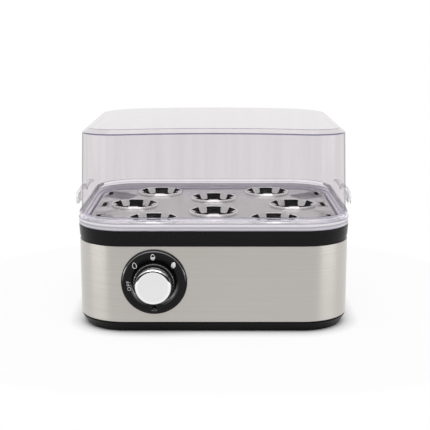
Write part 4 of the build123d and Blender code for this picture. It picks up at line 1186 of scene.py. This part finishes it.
finishes["knob_chrome"] = tree.show(tree.surface({
    "Base Color": tree.blend(leaning * on_edge, bright, colour(0.02, 0.02, 0.02)),
    "Metallic": 1.0,
    "Roughness": tree.ramp(turning, 0.3, 0.7, 0.10, 0.14) + on_face * 0.20,
    "Normal": tree.bump(turning, 0.4, 0.003 * MM),
}))

# %% [markdown]
# The walls and roof of the lid are a thin clear sheet. Real plastic bends light at each face, but a
# rendered sheet that does the same shows every inner face again and hides the tray. So the walls hardly
# bend light, and the rest is put on the outer face alone: a faint tint with upright streaks from the mould,
# painted dark shade lines on the bends that face the front, a painted dark silhouette line where one looks
# along the wall, and a mirroring coat. Lamp rays pass through both lid finishes with a light tint, so what
# stands inside stays lit.

# %% Clear walls of the lid
LAMP_TINT = (0.93, 0.92, 0.93)


def letting_lamps_in(tree, shader):
    """Shows a shader, except that a lamp's rays pass through it and only take on a tint."""
    see_through = tree.add("ShaderNodeBsdfTransparent", None, {"Color": colour(*LAMP_TINT)})
    return tree.show(tree.mix(tree.ray("Shadow"), shader, see_through))


tree = Tree(bpy.data.materials.new("clear_lid"))
where = tree.place()
smear = tree.noise(where, 22.0, 3.0)
outside = tree.mark("outside")
seen_first = outside * (1 - tree.add("ShaderNodeNewGeometry", output="Backfacing"))
facing_front, facing_up = 0 - tree.facing("Y"), tree.facing("Z")
draws = tree.noise(tree.stretched(where, 150.0, 150.0, 5.0), 1.0, 2.0)
wall_tone = tree.blend(tree.ramp(draws, 0.35, 0.65), colour(0.655, 0.62, 0.64), colour(0.70, 0.665, 0.685))
tone = tree.blend(tree.ramp(facing_up, 0.3, 0.7), wall_tone, colour(0.68, 0.645, 0.67))
# Painted shade: dark lines on the bends of the outer face that face the front.
painted_bend_shade = tree.mark("bend") * seen_first * tree.ramp(facing_front, 0.05, 0.4)
tone = tree.blend(painted_bend_shade, tone, colour(0.04, 0.04, 0.11))
# Painted shade: a dark silhouette line where the outer face is seen at a grazing angle.
grazing = tree.add("ShaderNodeLayerWeight", None, {"Blend": 0.5}, "Facing")
painted_silhouette_shade = seen_first * tree.ramp(grazing, 0.71, 0.88) * tree.ramp(facing_up, 0.1, 0.3, 1.0, 0.0)
tone = tree.blend(painted_silhouette_shade, tone, colour(0.03, 0.03, 0.034))
tone = tree.blend(outside, colour(1.0, 1.0, 1.0), tone)
clear = tree.surface({
    "Base Color": tone,
    "Roughness": tree.ramp(smear, 0.3, 0.7, 0.0, 0.03),
    "IOR": 1.0005,
    "Transmission Weight": 1.0,
    "Coat Weight": seen_first * tree.ramp(facing_up, 0.2, 0.5, 0.4, 1.0),
    "Coat IOR": 1.5,
    "Coat Roughness": 0.14,
})
finishes["clear_plastic"] = letting_lamps_in(tree, clear)

# %% [markdown]
# The lid's foot and ears are thick, so they bend light and are paler and less clear, and their bends are
# painted dark. Under its first step the foot catches light inside, which is painted into the colour as
# bright and dark bands one above the other, drawn as a cosine of the height. At the rear one looks through
# more plastic, so those bands are painted darker there.

# %% Thick foot and ears of the lid
PAINTED_BANDS_LOW, PAINTED_BANDS_HIGH = FIRST_STEP - 0.3, FIRST_STEP + 0.7
RIPPLE_START, RIPPLE_PITCH = 75.0, 2.8
REAR_START, REAR_FULL = 60.0, 80.0
tree = Tree(bpy.data.materials.new("clear_foot"))
smear = tree.noise(tree.place(), 22.0, 3.0)
on_bend = tree.ramp(tree.mark("bend"), 0.2, 1.0)
height = tree.part(tree.place(), "Z")
step = {"Roughness": tree.ramp(smear, 0.3, 0.7, 0.0, 0.03), "IOR": 1.22}
# Painted shade: dark lines on the bends of the thick plastic.
thick = tree.surface(step | {
    "Base Color": tree.blend(on_bend, colour(0.97, 0.955, 0.97), colour(0.62, 0.61, 0.73)),
    "Transmission Weight": 0.84,
})
# Painted light and shade: bright and dark bands up the foot, from a cosine of the height.
ripple = tree.math("COSINE", (height - RIPPLE_START * MM) * (2 * np.pi / (RIPPLE_PITCH * MM)))
painted_bands = tree.blend(tree.ramp(ripple, -0.9, 0.5), colour(0.60, 0.585, 0.64), colour(0.96, 0.95, 0.965))
# Painted shade: the bands are darker towards the rear.
at_rear = tree.ramp(tree.part(tree.place(), "Y"), REAR_START * MM, REAR_FULL * MM)
painted_bands = tree.blend(at_rear * 0.8, painted_bands, colour(0.40, 0.39, 0.42))
painted_band_surface = tree.surface(step | {
    "Base Color": tree.blend(on_bend, painted_bands, colour(0.40, 0.39, 0.50)),
    "Transmission Weight": 0.52,
})
foot = tree.mix(tree.ramp(height, PAINTED_BANDS_HIGH * MM, PAINTED_BANDS_LOW * MM), thick, painted_band_surface)
foot_finish = letting_lamps_in(tree, foot)

# %% [markdown]
# The print is matt white ink. Every piece takes the finish of its slot, the lid takes both of its finishes,
# and the inner nodes that come straight from the CAD part are handed theirs as well.

# %% Ink, and handing out the finishes
FOOT_HEIGHT, EAR_START = 83.2, 96.4
ink_finish = coat("white_ink", (0.78, 0.78, 0.78), 0.5, grain=0.004)
for made in pieces.values():
    made.data.materials.append(ink_finish if made is print_piece else finishes[made["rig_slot"]])
lid.data.materials.append(foot_finish)
face_middles = np.zeros(3 * len(lid.data.polygons))
lid.data.polygons.foreach_get("center", face_middles)
face_middles = face_middles.reshape(-1, 3) / MM
thick_parts = (face_middles[:, 2] < FOOT_HEIGHT) | (np.abs(face_middles[:, 0]) > EAR_START)
lid.data.polygons.foreach_set("material_index", thick_parts.astype(np.int32))
for name, node in frame["nodes"].items():
    if not node.hide_render:
        for material_slot in node.material_slots:
            material_slot.material = finishes[slot_of[name]]
print("pieces", len(pieces), "materials", len(finishes) + 1)

# %% [markdown]
# ## Stage
# The object stands on a white floor that runs off into a white background. A plain matt floor would come
# out grey under soft light. So it also glows for rays that see it directly: hardly under the cooker, much
# from a few millimetres beside it on, fully from 120 mm. It reads white and still keeps a thin shadow at
# the base. The distance to the outline is sqrt(x^2 + y^2) - r, with x and y counted from the nearest
# corner's centre.

# %% Floor
FLOOR_HALF, WHITE_FLOOR = 4.0, 0.80
GLOW_START, GLOW_NEAR, GLOW_FULL, NEAR_GLOW = -4.0, 10.0, 120.0, 0.90
floor_corners = [(x * FLOOR_HALF, y * FLOOR_HALF, 0.0) for x, y in ((-1, -1), (1, -1), (1, 1), (-1, 1))]
floor_mesh = bpy.data.meshes.new("floor")
floor_mesh.from_pydata(floor_corners, [], [(0, 1, 2, 3)])
floor = bpy.data.objects.new("floor", floor_mesh)
bpy.context.scene.collection.objects.link(floor)
tree = Tree(bpy.data.materials.new("white_floor"))
matt = tree.add("ShaderNodeBsdfDiffuse", None, {"Color": colour(WHITE_FLOOR, WHITE_FLOOR, WHITE_FLOOR)})
glow = tree.add("ShaderNodeEmission", None, {"Color": colour(1.0, 1.0, 1.0), "Strength": 1.0})
beyond = []
for axis, middle, reach in (("X", body_middle[0], HALF_X - CORNER), ("Y", body_middle[1], HALF_Y - CORNER)):
    from_middle = tree.math("ABSOLUTE", tree.part(tree.place(), axis) - middle * MM)
    beyond.append(tree.math("MAXIMUM", from_middle - reach * MM, 0.0))
from_outline = tree.math("SQRT", beyond[0] * beyond[0] + beyond[1] * beyond[1]) - CORNER * MM
near_glow = tree.ramp(from_outline, GLOW_START * MM, GLOW_NEAR * MM, 0.0, NEAR_GLOW)
far_glow = tree.ramp(from_outline, GLOW_NEAR * MM, GLOW_FULL * MM)
glow_share = seen_directly(tree) * tree.math("MAXIMUM", near_glow, far_glow)
floor_mesh.materials.append(tree.show(tree.mix(glow_share, matt, glow)))
print("floor", 2 * FLOOR_HALF, "m wide")

# %% [markdown]
# The world is white where it is seen and a little weaker as the light all round. Rays that a surface
# mirrors find its front part dimmer: a studio is dark behind the camera, and that gives metal and black
# plastic their contrast.

# %% World
AMBIENT, FRONT_DIM, ROOM_DIM = 0.72, 0.7, 0.05
world = bpy.data.worlds.new("studio")
bpy.context.scene.world = world
tree = Tree(world)
direction = tree.add("ShaderNodeTexCoord")
front = tree.ramp(tree.part(direction, "Y"), -0.35, -0.8) * tree.ramp(tree.part(direction, "Z"), 0.55, 0.25)
mirrored = tree.ray("Glossy") * (1 - tree.ray("Transmission"))
seen_strength = tree.ramp(seen_directly(tree), 0.0, 1.0, AMBIENT, 1.0)
tree.show(tree.add("ShaderNodeBackground", None, {
    "Color": colour(1.0, 1.0, 1.0),
    "Strength": seen_strength - mirrored * (front * FRONT_DIM + ROOM_DIM),
}))

# %% [markdown]
# ## Lamps
# One large lamp above the front gives the soft shadow and lights the roof and the tray. Two low strip
# lamps, one on each side, put the pale upright streaks on the band's corners. They are low because the
# lid's roof would mirror higher ones as a white sheet when it is seen from a side.


# %% Lamps
def lamp(name, place, aim, width, height, power):
    """Rectangular area lamp at a place, turned towards an aim."""
    light = bpy.data.lights.new(name, "AREA")
    light.shape, light.size, light.size_y, light.energy = "RECTANGLE", width, height, power
    holder = bpy.data.objects.new(name, light)
    holder.location = place
    holder.rotation_euler = (Vector(aim) - Vector(place)).to_track_quat("-Z", "Y").to_euler()
    bpy.context.scene.collection.objects.link(holder)
    print(name, power, "W")


SIDE_X, SIDE_Y, SIDE_Z, SIDE_AIM, SIDE_POWER = 1.0, -0.40, 0.11, (0.0, 0.0, 0.04), 1.35
lamp("top_lamp", (0.0, -0.35, 1.3), (0.0, 0.0, 0.05), 1.4, 1.4, 8.0)
lamp("left_lamp", (-SIDE_X, SIDE_Y, SIDE_Z), SIDE_AIM, 0.8, 0.2, SIDE_POWER)
lamp("right_lamp", (SIDE_X, SIDE_Y, SIDE_Z), SIDE_AIM, 0.8, 0.2, SIDE_POWER)

# %% [markdown]
# ## Camera
# The camera stands where the photograph's outline and height agree: 0.74 m in front, a little above the
# lid, looking down by 11.6 degrees.

# %% Camera and view
CAMERA_DISTANCE, CAMERA_HEIGHT, LOOK_DOWN = 0.74005, 0.2211, 0.202
SENSOR_WIDTH, FOCAL_LENGTH, SHIFT_X = 36.0, 81.61, 0.0030
optics = bpy.data.cameras.new("camera")
optics.sensor_width, optics.lens, optics.shift_x = SENSOR_WIDTH, FOCAL_LENGTH, SHIFT_X
camera = bpy.data.objects.new("camera", optics)
camera.location = (0.0, -CAMERA_DISTANCE, CAMERA_HEIGHT)
camera.rotation_euler = (np.pi / 2 - LOOK_DOWN, 0.0, 0.0)
bpy.context.scene.collection.objects.link(camera)
bpy.context.scene.camera = camera
bpy.context.scene.view_settings.view_transform = "Standard"
